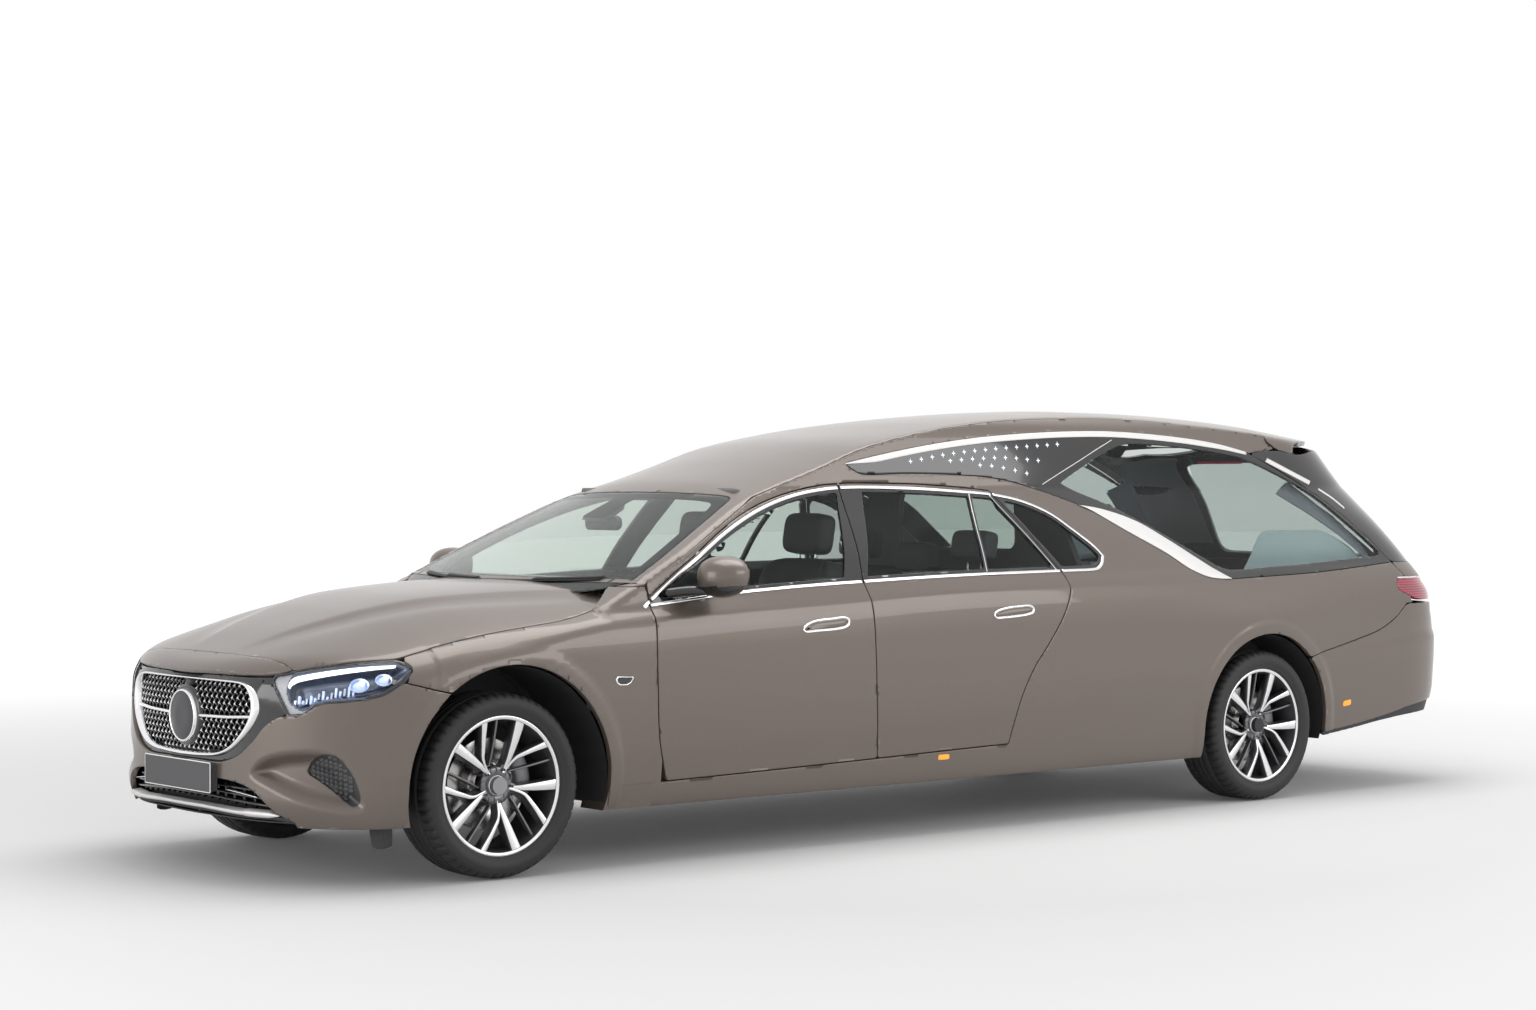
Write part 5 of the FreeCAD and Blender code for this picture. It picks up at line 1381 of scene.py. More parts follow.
# rain sensor box and mirror behind the glass
BOX = ((1400, 62, 14), (1385, 74, 36), (1355, 70, 52), (1335, 50, 46))
rows = []
for z_at, wide, deep in BOX:
    at = on_screen(np.array([0.0]), np.array([float(z_at)]), 12)[0]
    rows.append([at + (0, -wide, 0), at + (deep, -wide * 0.8, -6), at + (deep * 1.4, 0, -8),
                 at + (deep, wide * 0.8, -6), at + (0, wide, 0)])
faces = [[a, d, c, b] for a, b, c, d in grid_faces(4, 5)] + flipped(ring_ends(4, 5))
build("sensor_box", np.vstack(rows), faces, trim_black)
glass_face, glass_faces = rounded_box(236, 62, radius=26, levels=((0, 3), (3, 0), (18, 0), (30, 8), (34, 22)))
at = on_screen(np.array([0.0]), np.array([1330.0]), 12)[0]
build("inside_mirror", *facing(glass_face + at + (66, -14, -8), glass_faces), dark_satin)
# two wipers: arm, spring cover and blade, parked along the foot of the screen
for side, (near_y, far_y) in (("left", (-640, 20)), ("right", (60, 600))):
    line_y = np.linspace(near_y, far_y, 30)
    foot = smooth(np.abs(line_y), (0, 200, 400, 560, 700), (1093, 1095, 1100, 1106, 1114))
    for name, up, tall, near, far, share in (("blade", 0, 9, 0, 9, (0, 1)),
                                             ("arm", 8, 8, 8, 14, (0.0, 0.55))):
        keep = slice(*(int(len(line_y) * end) for end in share))
        yy, zz = line_y[keep], foot[keep] + up
        rows = [on_screen(yy, zz + dz, -out) for dz,
                out in ((0, near), (0, far), (tall, far * 0.8 + near * 0.2), (tall, near))]
        faces = grid_faces(4, len(yy), closed=False, ring=True) + row_ends(4, len(yy))
        build("wiper_%s_%s" % (name, side), *facing(np.vstack(rows), faces, (-1, 0, 0.4)),
                      trim_black)


# ---- Tailgate
# A pressed lid hinged at the roof, with gloss black glass sides, a bonded rear window and a body colour
# spoiler over it. Two satin trim strips lie on each black side.
# where rays to the tail start, and the arc its places are measured on
TAIL_HEART, TAIL_ARC = (4300.0, 0.0, 900.0), 1000


def rear_fan(s0, s1, t0, t1, step, inset=0.0):
    """A grid of points round the tail, set in by some depth."""
    s, t = spread(by_step(s0, s1, step), by_step(t0, t1, step))
    return cast(tail_form, TAIL_HEART, arc_way(s, t, TAIL_ARC, 1), inset=inset)


WINDOW = curve([(0, 1612), (300, 1610), (420, 1604)], [(455, 1590), (468, 1560)],
               [(492, 1350), (520, 1190)], [(515, 1150), (480, 1134)], [(200, 1128), (0, 1127)])
WINDOW = np.vstack([WINDOW, [(-80, 1127), (-80, 1612)]])
SPOILER_LOW = ((4700, 1652), (4800, 1653), (4880, 1640), (4950, 1634), (5020, 1640), (5100, 1655),
               (5200, 1672), (5450, 1690))


def under_spoiler(x, y, z):
    """Above zero for what lies above the spoiler's lower edge."""
    return np.maximum(z - column(SPOILER_LOW, x) + 2, z - roof_top(x, y) + 34)


grid = rear_fan(-1180, 1180, 120, 900, step=12.0, inset=1.0)
X, Y, Z = np.moveaxis(grid, -1, 0)
upper = np.maximum.reduce([GAP + inside_of(TAIL_EDGE, X, Z), 1102 - Z,
                           -inside_of(WINDOW, np.abs(Y), Z) * (X > 5100) - 60 * (X <= 5100),
                           under_spoiler(X, Y, Z)])
gate_frame = build("tailgate_glass_sides", *panel(grid, upper, depth=22, lip=1.4, over=True),
                   gloss_black, "tailgate")
grid = rear_fan(-420, 420, 60, 620, step=14.0, inset=3.0)
window = inside_of(WINDOW, np.abs(grid[..., 1]), grid[..., 2]) - 2
rear_pane = build("tailgate_pane", *panel(grid, window, depth=5, lip=0.5, over=True), deck_tint, "tailgate")
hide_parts("tailgate_glass")
grid = rear_fan(-860, 860, -30, 260, step=10.0)
X, Y, Z = np.moveaxis(grid, -1, 0)
lamp_side = np.maximum(inside_of(TAIL_LAMP, X, Z), 612 - np.abs(Y))
lower = np.maximum.reduce([GAP + inside_of(TAIL_EDGE, X, Z), Z - 1101, 907 - Z, GAP - lamp_side])
gate_skin = build("tailgate_skin", *panel(grid, lower, depth=24, over=True), paint, "tailgate")
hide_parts("tailgate")

# the spoiler: a hollow wing over the window, its underside black
WING_HALF = ((4700, 590), (4850, 589), (4950, 578), (5050, 552), (5150, 505), (5200, 470), (5450, 430))
wing_form = lambda x, y, z: blend_max(np.abs(y) - column(WING_HALF, x), z - roof_top(x, y), 34)
grid = hoops(wing_form, (4715, 5428, 64), (*OVER, 110), height=1560.0, reach=900)
X, Y, Z = np.moveaxis(grid, -1, 0)
tip = 5418 - 262 * (np.abs(Y) / 455) ** 2.6
wing = np.maximum.reduce([X - tip, column(SPOILER_LOW, X) - Z,
                          GAP + inside_of(TAIL_EDGE, X, Z) - 200 * (X > 4900)])
spoiler = build("spoiler", *panel(grid, wing, depth=22, lip=3.0), paint, "tailgate")
under = grid - (0, 0, 26.0)
under[..., 1] *= 0.955
field = np.maximum.reduce([X - tip + 14, column(SPOILER_LOW, X) - Z + 6, 4790 - X])
verts, faces = panel(under[::2, ::2], field[::2, ::2], depth=4, over=True, lip=0.5)
build("spoiler_underside", verts, faces, trim_black, "tailgate")
for name, line, wide in (("long", [(4700, 1606), (4860, 1547), (5005, 1494)], 21),
                         ("short", [(5060, 1464), (5130, 1420), (5183, 1370)], 10)):
    path = even(curve(line, step=10, closed=False), 40)
    rows = []
    for mix, out in ((0, -3), (0, 1.5), (0.2, 2.6), (0.8, 2.6), (1, 1.5), (1, -3)):
        x, z = path[:, 0] + wide * 0.45 * (mix - 0.5) * 2, path[:, 1] + wide * 0.9 * (mix - 0.5) * 2 * 0.5
        rows.append(np.stack([x, -side_reach(x, z) - out + 1.0, z], 1))
    faces = grid_faces(len(rows), len(path), closed=False) + flipped(row_ends(len(rows), len(path)))
    verts, faces = both_sides(*facing(np.vstack(rows), faces, (0, -1, 0)))
    build("pillar_strip_" + name, verts, faces, silver, "tailgate")


# ---- Tail lamps and rear bumper
# Red moulded lamps wrap both rear corners under a thin bright strip. The bumper is a plastic cover in
# body colour over a dark lower apron, with an amber marker on each side.
lens_red = shader("lens_red", (0.30, 0.012, 0.025), 0.12, Coat_Weight=1.0)
red_tree = lens_red.node_tree
red_at = node(red_tree, "ShaderNodeTexCoord")
red_wave = node(red_tree, "ShaderNodeTexWave", {"Scale": 26.0, "Distortion": 0.6}, bands_direction="Z")
wire(red_tree, red_at, "Object", red_wave, "Vector")
red_mix = node(red_tree, "ShaderNodeMix", {"A": (0.07, 0.003, 0.008, 1), "B": (0.30, 0.010, 0.03, 1)},
               data_type="RGBA")
wire(red_tree, red_wave, "Fac", red_mix, "Factor")
wire(red_tree, red_mix, "Result", red_tree.nodes["Principled BSDF"], "Base Color")
red_glow = node(red_tree, "ShaderNodeMix", {"A": (0.02, 0.0, 0.001, 1), "B": (0.55, 0.01, 0.09, 1)},
                data_type="RGBA")
wire(red_tree, red_wave, "Fac", red_glow, "Factor")
wire(red_tree, red_glow, "Result", red_tree.nodes["Principled BSDF"], "Emission Color")
red_tree.nodes["Principled BSDF"].inputs["Emission Strength"].default_value = 0.5
grid = rear_fan(380, 860, -10, 150, step=7.0, inset=1.0)
X, Y, Z = np.moveaxis(grid, -1, 0)
lamp_side = np.maximum(inside_of(TAIL_LAMP, X, Z), 612 - np.abs(Y))
verts, faces = both_sides(*panel(grid, lamp_side + 1.5, depth=30, lip=2.0, over=True))
tail_lamps = build("tail_lamp_lenses", verts, faces, lens_red)
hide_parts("tail_lamps")
grid = rear_fan(380, 860, 70, 160, step=4.0, inset=-2.0)
X, Y, Z = np.moveaxis(grid, -1, 0)
field = np.maximum.reduce([1024 - Z, Z - 1031, 5328 - X, 612 - np.abs(Y)])
verts, faces = both_sides(*panel(grid, field, depth=8, lip=0.8, over=True))
build("lamp_top_strip", verts, faces, bright_trim)
APRON_TOP = ((4600, 281), (4694, 289), (4957, 316), (5222, 354), (5484, 400), (5860, 432))
APRON_LOW = ((4600, 262), (4685, 270), (4959, 298), (5224, 331), (5491, 352), (5860, 361))
CREASE = ((4600, 640), (4927, 667), (5196, 694), (5455, 723), (5860, 752))
grid = rear_fan(-1380, 1380, -700, 40, step=13.0)
X, Y, Z = np.moveaxis(grid, -1, 0)
below = column(CREASE, X) - Z
shift = 6.0 * (1 - ease(below, -14, 4)) * ease(below, -90, -20)
away = np.stack([np.where(X > 5300, -0.7, 0), -np.sign(Y) * 0.8, 0 * X], -1)
grid = grid + away * shift[..., None] * (np.abs(Y) > 5)[..., None]
X, Y, Z = np.moveaxis(grid, -1, 0)
bumper = np.maximum.reduce([GAP + inside_of(REAR_BUMPER, X, Z),
                            column(APRON_TOP, X) - Z, outside_arches(X, Z),
                            GAP - np.maximum(inside_of(TAIL_LAMP, X, Z), 612 - np.abs(Y))])
rear_bumper = build("rear_bumper_skin", *panel(grid, bumper, depth=22, back=False, over=True), paint)
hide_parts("rear_bumper")
grid = rear_fan(-1380, 1380, -740, -240, step=13.0, inset=7.0)
X, Y, Z = np.moveaxis(grid, -1, 0)
apron = np.maximum.reduce([Z - column(APRON_TOP, X) - 6, column(APRON_LOW, X) - Z,
                           outside_arches(X, Z, gap=-4), 4640 - X])
build("rear_apron", *panel(grid, apron, depth=14, lip=3.0, over=True), trim_black)
x, y = spread((4690, 5850, 60), (-900, 900, 60))
low_z = column(APRON_LOW, x) + 4
tray = np.stack([x, y, low_z], 2)
behind_wheel = np.where(np.abs(y) > 600, 4773 - x, -FAR)
verts, faces = panel(tray, np.maximum(around(x, y, low_z) + 14, behind_wheel), depth=5, over=True, lip=1.0)
build("rear_tray", verts, faces, trim_black)
amber = glowing("amber_marker", (0.75, 0.26, 0.02), (1.0, 0.55, 0.08), 0.7)
amber.node_tree.nodes["Principled BSDF"].inputs["Base Color"].default_value = (0.75, 0.28, 0.03, 1)
verts, faces, turn = [], [], circle(20)
for x0, z0, long, tall in ((2254, 327, 62, 22), (4925, 428, 56, 26)):
    ring = []
    for mix, out in ((1.0, -2), (1.0, 2.5), (0.86, 4.5), (0.45, 5.2)):
        for a in turn:
            u = max(-1, min(1, 1.25 * math.cos(a))) * long / 2 * mix
            v = max(-1, min(1, 1.25 * math.sin(a))) * tall / 2 * mix
            ring.append((x0 + u, -float(side_reach(x0 + u, z0 + v)) - out, z0 + v + 0.12 * u * (x0 > 4000)))
    faces += shifted(grid_faces(4, len(turn)) + ring_ends(4, len(turn))[1:], len(verts))
    verts += ring
verts, faces = both_sides(*facing(np.array(verts), faces, (0, -1, 0)))
build("amber_markers", verts, faces, amber)


# ---- Wheels
# Cast alloy wheels with machined faces in five forked spokes, on low tyres with four tread grooves. A
# steel disc turns with each wheel, and a caliper on the knuckle or the axle grips its rear side.
rubber = grained("tyre_rubber", (0.022, 0.022, 0.023), 0.6, 500, 0.35)
machined = shader("machined_face", (0.80, 0.80, 0.81), 0.24, 1.0)
spun, spun_in, spun_out = effect_group("turning_lines",
                                       (("Scale", "NodeSocketFloat", 260.0),
                                        ("Depth", "NodeSocketFloat", 0.05)),
                                       (("Roughness", "NodeSocketFloat"), ("Normal", "NodeSocketVector")))
spun_at = node(spun, "ShaderNodeTexCoord")
spun_noise = node(spun, "ShaderNodeTexNoise", {"Detail": 2.0})
wire(spun, spun_at, "Object", spun_noise, "Vector")
wire(spun, spun_in, "Scale", spun_noise, "Scale")
spun_rough = node(spun, "ShaderNodeMapRange", {"To Min": 0.2, "To Max": 0.32})
wire(spun, spun_noise, "Fac", spun_rough, "Value")
wire(spun, spun_rough, 0, spun_out, "Roughness")
spun_bump = node(spun, "ShaderNodeBump", {"Distance": 0.0003})
wire(spun, spun_in, "Depth", spun_bump, "Strength")
wire(spun, spun_noise, "Fac", spun_bump, "Height")
wire(spun, spun_bump, 0, spun_out, "Normal")


def add_spun(material):
    group = node(material.node_tree, "ShaderNodeGroup", node_tree=spun)
    for out in ("Roughness", "Normal"):
        wire(material.node_tree, group, out, material.node_tree.nodes["Principled BSDF"], out)
    return material


add_spun(machined)
wheel_gray = grained("wheel_gray", (0.20, 0.20, 0.21), 0.35, 200, 0.08, metal=0.8, even_gloss=True)
disc_steel = add_spun(shader("disc_steel", (0.42, 0.41, 0.40), 0.3, 1.0))
caliper_gray = grained("caliper_gray", (0.36, 0.36, 0.37), 0.4, 200, 0.15, metal=0.6)
RIM = 268.0  # radius of the machined lip
AXLE_UP = 352  # height of the wheel centres


def turned(profile, count, cut=None):
    """A profile of (radius, outward) points turned round the axle; cut may lower the radius at each angle."""
    angle = circle(count) if cut is None else cut[0]
    verts, n = [], len(angle)
    for k, (radius, out) in enumerate(profile):
        r = radius - (cut[1] * cut[2][k] if cut is not None else 0 * angle)
        verts.append(np.stack([r * np.cos(angle), r * np.sin(angle), np.full(n, float(out))], 1))
    return np.vstack(verts), grid_faces(len(profile), n)


def spoke(path, widths, crown, floor, draft=7.0):
    """A spoke along a path in the wheel's plane: a flat machined face with drafted sides behind it."""
    path, n = even(path, 26), 26
    widths = np.interp(np.linspace(0, 1, n), *zip(*widths))
    along = np.gradient(path, axis=0)
    across = np.stack([-along[:, 1], along[:, 0]], 1) / np.linalg.norm(along, axis=1)[:, None]
    radius = np.linalg.norm(path, axis=1)
    top = np.interp(radius, *zip(*crown))
    rows = []
    for share, extra, down in ((-1, draft, floor), (-1, draft * 0.45, 14), (-1, 1.6, 1.6), (-1, 0, 0),
                               (1, 0, 0), (1, 1.6, 1.6),
                               (1, draft * 0.45, 14), (1, draft, floor)):
        at = path + across * (share * (widths / 2 + extra))[:, None]
        rows.append(np.column_stack([at, top - down]))
    faces = grid_faces(8, n, closed=False, ring=True) + flipped(row_ends(8, n))
    flags = [1 if k // (n - 1) == 3 else 0
             for k in range(len(faces))]  # the face between its two bright edges
    return np.vstack(rows), faces, flags


def polar(radius, angle):
    return RIM * radius * math.cos(math.radians(angle)), RIM * radius * math.sin(math.radians(angle))


def spin(verts, degrees):
    a = math.radians(degrees)
    return verts @ np.array([[math.cos(a), math.sin(a), 0], [-math.sin(a), math.cos(a), 0], [0, 0, 1]])


CROWN = ((40, 68), (70, 72), (110, 82), (170, 91), (230, 97), (268, 100))
parts = [(*turned(((266, 88), (RIM, 98), (RIM - 1, 103), (264, 105), (257, 104.5), (252, 101)), count=96),
          [1] * 5 * 96),
         (*turned(((252, 101), (249, 92), (246, 60), (243, 20), (243, -96), (250, -104), (262, -106),
                   (262, -100), (247, -90), (247, 60),
                   (258, 88), (266, 88)), count=96), [0] * 11 * 96),
         (*turned(((22, 40), (60, 44), (74, 62), (66, 67), (40, 69), (38, 66)), count=60), [0] * 5 * 60),
         (*turned(((0.5, 71), (24, 72), (32, 71), (34, 69)), count=48), [2] * 3 * 48),
         (*turned(((34, 69), (34.5, 72), (37, 72), (38, 66)), count=48), [1] * 3 * 48)]
wide = spoke([polar(r, a) for r,
              a in ((0.2, 60), (0.26, 62), (0.4, 64.5), (0.6, 67.5), (0.8, 69.3), (0.975, 70.5))],
             ((0, 11), (0.15, 14), (0.35, 22), (0.7, 32), (1, 39)), CROWN, floor=40)
narrow = spoke([polar(r, a) for r,
                a in ((0.2, 57), (0.27, 57), (0.39, 55.5), (0.475, 53.0), (0.52, 50.5), (0.72, 41.5),
                      (0.975, 35))],
               ((0, 7), (0.3, 9), (0.42, 13), (0.7, 17), (1, 24)), CROWN, floor=40)
rib = spoke([polar(r, a) for r, a in ((0.29, 112), (0.45, 101), (0.6, 96.5), (0.96, 92))], ((0, 4), (1, 6)),
            tuple((r, h - 16) for r, h in CROWN), floor=22, draft=3)
rib = (rib[0], rib[1], [0] * len(rib[2]))
foot = spoke([polar(0.13, 66), polar(0.2, 66), polar(0.3, 64)], ((0, 30), (1, 22)),
             tuple((r, h - 4) for r, h in CROWN), floor=30)
foot = (foot[0], foot[1], [0] * len(foot[2]))
for k in range(5):
    for verts, faces, flags in (wide, narrow, rib, foot):
        parts.append((spin(verts, 72 * k - 0.5), faces, flags))
    for angle, radius, size, high in ((103, 0.22, 13.5, 71), (66, 0.235, 4.2, 82)):
        hole, hole_faces = turned(((size + 1.5, high - 12), (size + 1.2, high), (size, high + 0.5),
                                   (size - 0.5, high - 1), (size - 1, high - 10)), count=20)
        at = polar(radius, angle + 72 * k)
        parts.append((hole + (*at, 0), hole_faces, [0] * len(hole_faces)))
        # painted shade: the floor of each hole is near black, for the shade inside it
        disc, disc_faces = turned(((size - 1, high - 9), (size * 0.55, high - 9), (size * 0.5, high - 6),
                                   (0.3, high - 6)), count=20)
        parts.append((disc + (*at, 0), disc_faces, [2] * len(disc_faces)))
wheel_verts, wheel_faces, wheel_flags = [], [], []
for verts, faces, flags in parts:
    wheel_faces += shifted(faces, len(wheel_verts))
    wheel_verts += verts.tolist()
    wheel_flags += flags
wheel_verts = np.array(wheel_verts)
SIDEWALL = ((264, 100), (270, 109), (276, 114.5), (280, 113.5), (284, 116.5), (300, 121.5), (316, 122.3),
            (318, 121.2), (321, 121.2),
            (323, 121), (332, 116.5), (340, 110.5), (345, 103), (348.3, 94))
TREAD = ((350, 84), (350.6, 72), (350.8, 61), (344.5, 60), (344.5, 52), (351.3, 51), (352, 30), (352, 21),
         (345.5, 20), (345.5, 10), (352, 9), (352, 0))
half = list(SIDEWALL) + list(TREAD)
profile = half + [(r, -o) for r, o in half[::-1][1:]]
blocks = 56
angles = np.concatenate([np.array([0, 0.72, 0.76, 0.96]) * 2 * math.pi / blocks + k * 2 * math.pi / blocks
                         for k in range(blocks)])
groove = np.tile([0.0, 0.0, 4.5, 4.5], blocks)
share = np.array([1.0 if 68 < abs(o) < 112 and r > 330 else 0.0 for r, o in profile])
tyre_verts, tyre_faces = turned(profile, count=0, cut=(angles, groove, share))
inner, inner_faces = turned(((264, 100), (262, 90), (262, -90), (264, -100)), count=84)
tyre_faces += shifted(inner_faces, len(tyre_verts))
tyre_verts = np.vstack([tyre_verts, inner])
disc_parts = turned(((175, -6), (175, -34), (88, -34), (88, -28), (76, -28), (76, 20), (60, 22), (60, 16),
                     (72, 14), (72, -6), (92, -8), (94, -6), (173, -5), (175, -6)), count=64)
n, rows = 14, []
for r, out, reach in ((122, 8, 24), (132, 20, 28), (176, 21, 30), (190, 10, 31), (191, -44, 31),
                      (176, -58, 28), (124, -54, 24)):
    for k in range(n):
        a = math.radians(8 + (k / (n - 1) - 0.5) * 2 * reach)
        rows.append((r * math.cos(a), r * math.sin(a), out))
caliper_faces = grid_faces(7, n, closed=False, ring=True) + flipped(row_ends(7, n))
caliper_verts = np.array(rows)
# name, station, place across, and the body that carries the caliper
STATIONS = (("front_left", 0.0, -802.5, "knuckle_left"), ("front_right", 0.0, 802.5, "knuckle_right"),
            ("rear_left", 4306.0, -809.5, "body"), ("rear_right", 4306.0, 809.5, "body"))
for name, x, y, carrier in STATIONS:
    side = 1 if y > 0 else -1

    def mounted(verts, faces):
        at = np.stack([x + verts[:, 0], y + side * verts[:, 2], AXLE_UP + verts[:, 1]], 1)
        return at, faces if side < 0 else flipped(faces)

    body = "wheel_" + name
    alloy = build("alloy_wheel_" + name, *mounted(wheel_verts, wheel_faces),
                  [wheel_gray, machined, dark_satin], body,
                  flags=np.array(wheel_flags))
    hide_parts("rim_" + name)
    tyre = build("road_tyre_" + name, *mounted(tyre_verts, tyre_faces), rubber, body)
    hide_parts("tyre_" + name)
    disc = build("vented_disc_" + name, *mounted(*disc_parts), disc_steel, body)
    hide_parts("brake_disc_" + name)
    build("caliper_" + name, *mounted(caliper_verts, caliper_faces), caliper_gray, carrier)
# arch liners: soft black shells over each wheel
for name, (x0, height, radius) in zip(("front", "rear"), ARCHES):
    turn, y = spread((math.radians(-12), math.radians(192), 44), (-912, -560, 12))
    reach = radius - 5 + 3 * np.sin(turn * 46) * (np.abs(y) < 880)
    liner = np.stack([x0 - reach * np.cos(turn), y, height + reach * np.sin(turn)], -1)
    inside = body_form(*np.moveaxis(liner, -1, 0))
    liner[..., 2] = np.maximum(liner[..., 2], 232)
    verts, faces = cut_grid(liner, inside + 20)
    build("arch_liners_" + name, *both_sides(verts, faces), trim_black)


# ---- Mirrors, handles and plaques
# Each mirror is a painted cap over a black base with a bright lamp strip, on a foot at the window corner.
# The handles lie flush in bright rings, and a bare plaque sits behind each front wheel.
def cap_shape(center, half, power, count=(28, 40)):
    """A rounded box: a ball pushed out toward its corners."""
    up, turn = np.meshgrid(np.linspace(-math.pi / 2, math.pi / 2, count[0]), circle(count[1]), indexing="ij")
    sign_power = lambda v, p: np.sign(v) * np.abs(v) ** p
    x = half[0] * sign_power(np.cos(up), power) * sign_power(np.cos(turn), power)
    y = half[1] * sign_power(np.cos(up), power) * sign_power(np.sin(turn), power)
    z = half[2] * sign_power(np.sin(up), power)
    return np.stack([x, y, z], -1) + center


ball = cap_shape((0, 0, 0), (104, 108, 84), power=0.86)
x, y, z = np.moveaxis(ball, -1, 0)
rear_face = 46 + 0.10 * z
x = np.where(x > rear_face, rear_face + (x - rear_face) * 0.12, x * (1 - 0.16 * (y < 0) * np.abs(y) / 98))
z = z * (1 - 0.18 * np.clip(-y / 98, 0, 1)) + 6 * np.clip(-y / 98, 0, 1)
cap = np.stack([1016 + x, -980 + y, 1121 + z], -1).reshape(-1, 3)
faces = grid_faces(*ball.shape[:2])
height = np.array([cap[f, 2].mean() for f in faces])
back = np.array([cap[f, 0].mean() for f in faces]) > 1062
flags = np.where(back, 2, np.where(height < 1086, 1, 0))
foot_rows = []
for share in np.linspace(0, 1, 9):
    centre = np.array([862, -866, 1058]) * (1 - share) + np.array([1000, -958, 1060]) * share
    centre[2] += 8 * math.sin(math.pi * share)
    long, tall = 62 * (1 - share) + 40 * share, 22 * (1 - share) + 17 * share
    foot_rows += [centre
                  + (long * math.cos(a) - 8 * math.sin(a), 9 * math.cos(a) * (1 - share), tall * math.sin(a))
                  for a in circle(16)]
foot_verts, foot_faces = np.array(foot_rows), grid_faces(9, 16)
HANDLES = (("front_door",
            ((1462, 892), (1466, 905), (1484, 917), (1528, 931), (1620, 938), (1696, 941), (1715, 932),
             (1712, 908),
                           (1690, 896), (1640, 889), (1540, 885), (1474, 884))),
           ("rear_door",
            ((2541, 920), (2545, 932), (2562, 943), (2639, 957), (2710, 961), (2764, 961), (2785, 949),
             (2780, 927),
                          (2750, 918), (2690, 912), (2610, 908), (2553, 909))))
HANDLE_RINGS = ((-1, -2.0), (-1, 3.0), (1, 4.6), (5, 4.8), (7, 2.4), (8.5, 0.6), (10, 3.4), (16, 5.6),
                (21, 6.4))
for side, turn_over in (("left", False), ("right", True)):
    def sided(verts, faces):
        return mirrored(np.asarray(verts, float), faces) if turn_over else (np.asarray(verts, float), faces)

    door = "front_door_" + side
    mirror = build("mirror_housing_" + side, *sided(cap, faces), [paint, gloss_black, lamp_mirror], door,
                   flags=flags)
    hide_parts("mirror_" + side)
    build("mirror_foot_" + side, *sided(foot_verts, foot_faces), gloss_black, door)
    for name, outline in HANDLES:
        path = even(np.vstack([curve(list(outline) + [outline[0]], step=3, closed=False)]), 73)[:-1]
        along = np.roll(path, -1, 0) - np.roll(path, 1, 0)
        inward = np.stack([along[:, 1], -along[:, 0]], 1) / np.linalg.norm(along, axis=1)[:, None]
        middle = path.mean(0)
        rings = []
        for inset, out in HANDLE_RINGS:
            at = path + inward * inset
            at[:, 1] = np.where(path[:, 1] > middle[1] + 0.07 * (path[:, 0] - middle[0]),
                                np.maximum(at[:, 1], middle[1] + 0.07 * (at[:, 0] - middle[0]) + 0.5),
                                np.minimum(at[:, 1], middle[1] + 0.07 * (at[:, 0] - middle[0]) - 0.5))
            rings.append(on_side(*at.T, out))
        verts = np.vstack(rings)
        handle_faces = grid_faces(len(HANDLE_RINGS), len(path)) + ring_ends(len(HANDLE_RINGS), len(path))[1:]
        handle_flags = np.array([0 if k < 5 * len(path) else 1 for k in range(len(handle_faces))])
        grip = build(name + "_handle_" + side, *sided(*facing(verts, handle_faces, (0, -1, 0))),
                     [bright_trim, paint],
                     name + "_" + side, flags=handle_flags)
badge_u = np.array([(-44, 6), (-36, 17), (42, 14), (44, 8), (30, -10), (12, -18), (-26, -17), (-38, -8)])
rings = []
for mix, out in ((1.0, -1), (1.0, 2.2), (0.9, 3.0), (0.84, 2.0), (0.5, 2.2)):
    rings.append(on_side(*(badge_u * mix + (552, 727)).T, out))
badge_flags = [0] * 24 + [1] * 9
verts, badge_faces = both_sides(*facing(np.vstack(rings), grid_faces(5, 8) + ring_ends(5, 8)[1:], (0, -1, 0)))
build("wing_plaques", verts, badge_faces, [bright_trim, dark_satin], flags=np.array(badge_flags * 2))


# ---- Cabin: seats, dashboard and steering wheel
# Padded cloth seats on steel runners and posts, a moulded dashboard with one wide screen and a bright
# line, a padded wheel on its column, and folded visors under a pale headlining.
seat_cloth = grained("seat_cloth", (0.05, 0.05, 0.055), 0.8, 900, 0.3)
pale_cloth = grained("pale_seat_cloth", (0.20, 0.20, 0.22), 0.8, 900, 0.3)
dash_skin = grained("dashboard_skin", (0.018, 0.018, 0.02), 0.55, 700, 0.3)
lining_cloth = grained("headlining", (0.24, 0.24, 0.245), 0.85, 1100, 0.2)
screen_black = shader("screen_black", (0.01, 0.01, 0.012), 0.05, Coat_Weight=1.0)


def cushion(center, half, tilt, bolster=0.0, seams=(), power=0.36):
    """A stuffed block of length, width and height halves, leant back by a tilt, with side bolsters and
    stitched channels on its front or top face."""
    ball = cap_shape((0, 0, 0), half, power=power, count=(30, 44))
    x, y, z = np.moveaxis(ball, -1, 0)
    side = np.clip(np.abs(y) / half[1], 0, 1)
    front = np.clip(-x / half[0], 0, 1)
    x -= bolster * ease(side, 0.55, 0.95) * front
    for at in seams:
        x += 7 * np.exp(-((np.abs(y) - at) / 9.0) ** 2) * front
    x -= 9 * front * np.cos(z / half[2] * math.pi / 2)
    a = math.radians(tilt)
    at = np.stack([x * math.cos(a) + z * math.sin(a), y, z * math.cos(a) - x * math.sin(a)], -1) + center
    return at.reshape(-1, 3), grid_faces(*ball.shape[:2])


def stack_up(parts):
    verts, faces, flags, base = [], [], [], 0
    for index, (v, f) in parts:
        verts.append(v)
        faces += shifted(f, base)
        flags += [index] * len(f)
        base += len(v)
    return np.vstack(verts), faces, flags


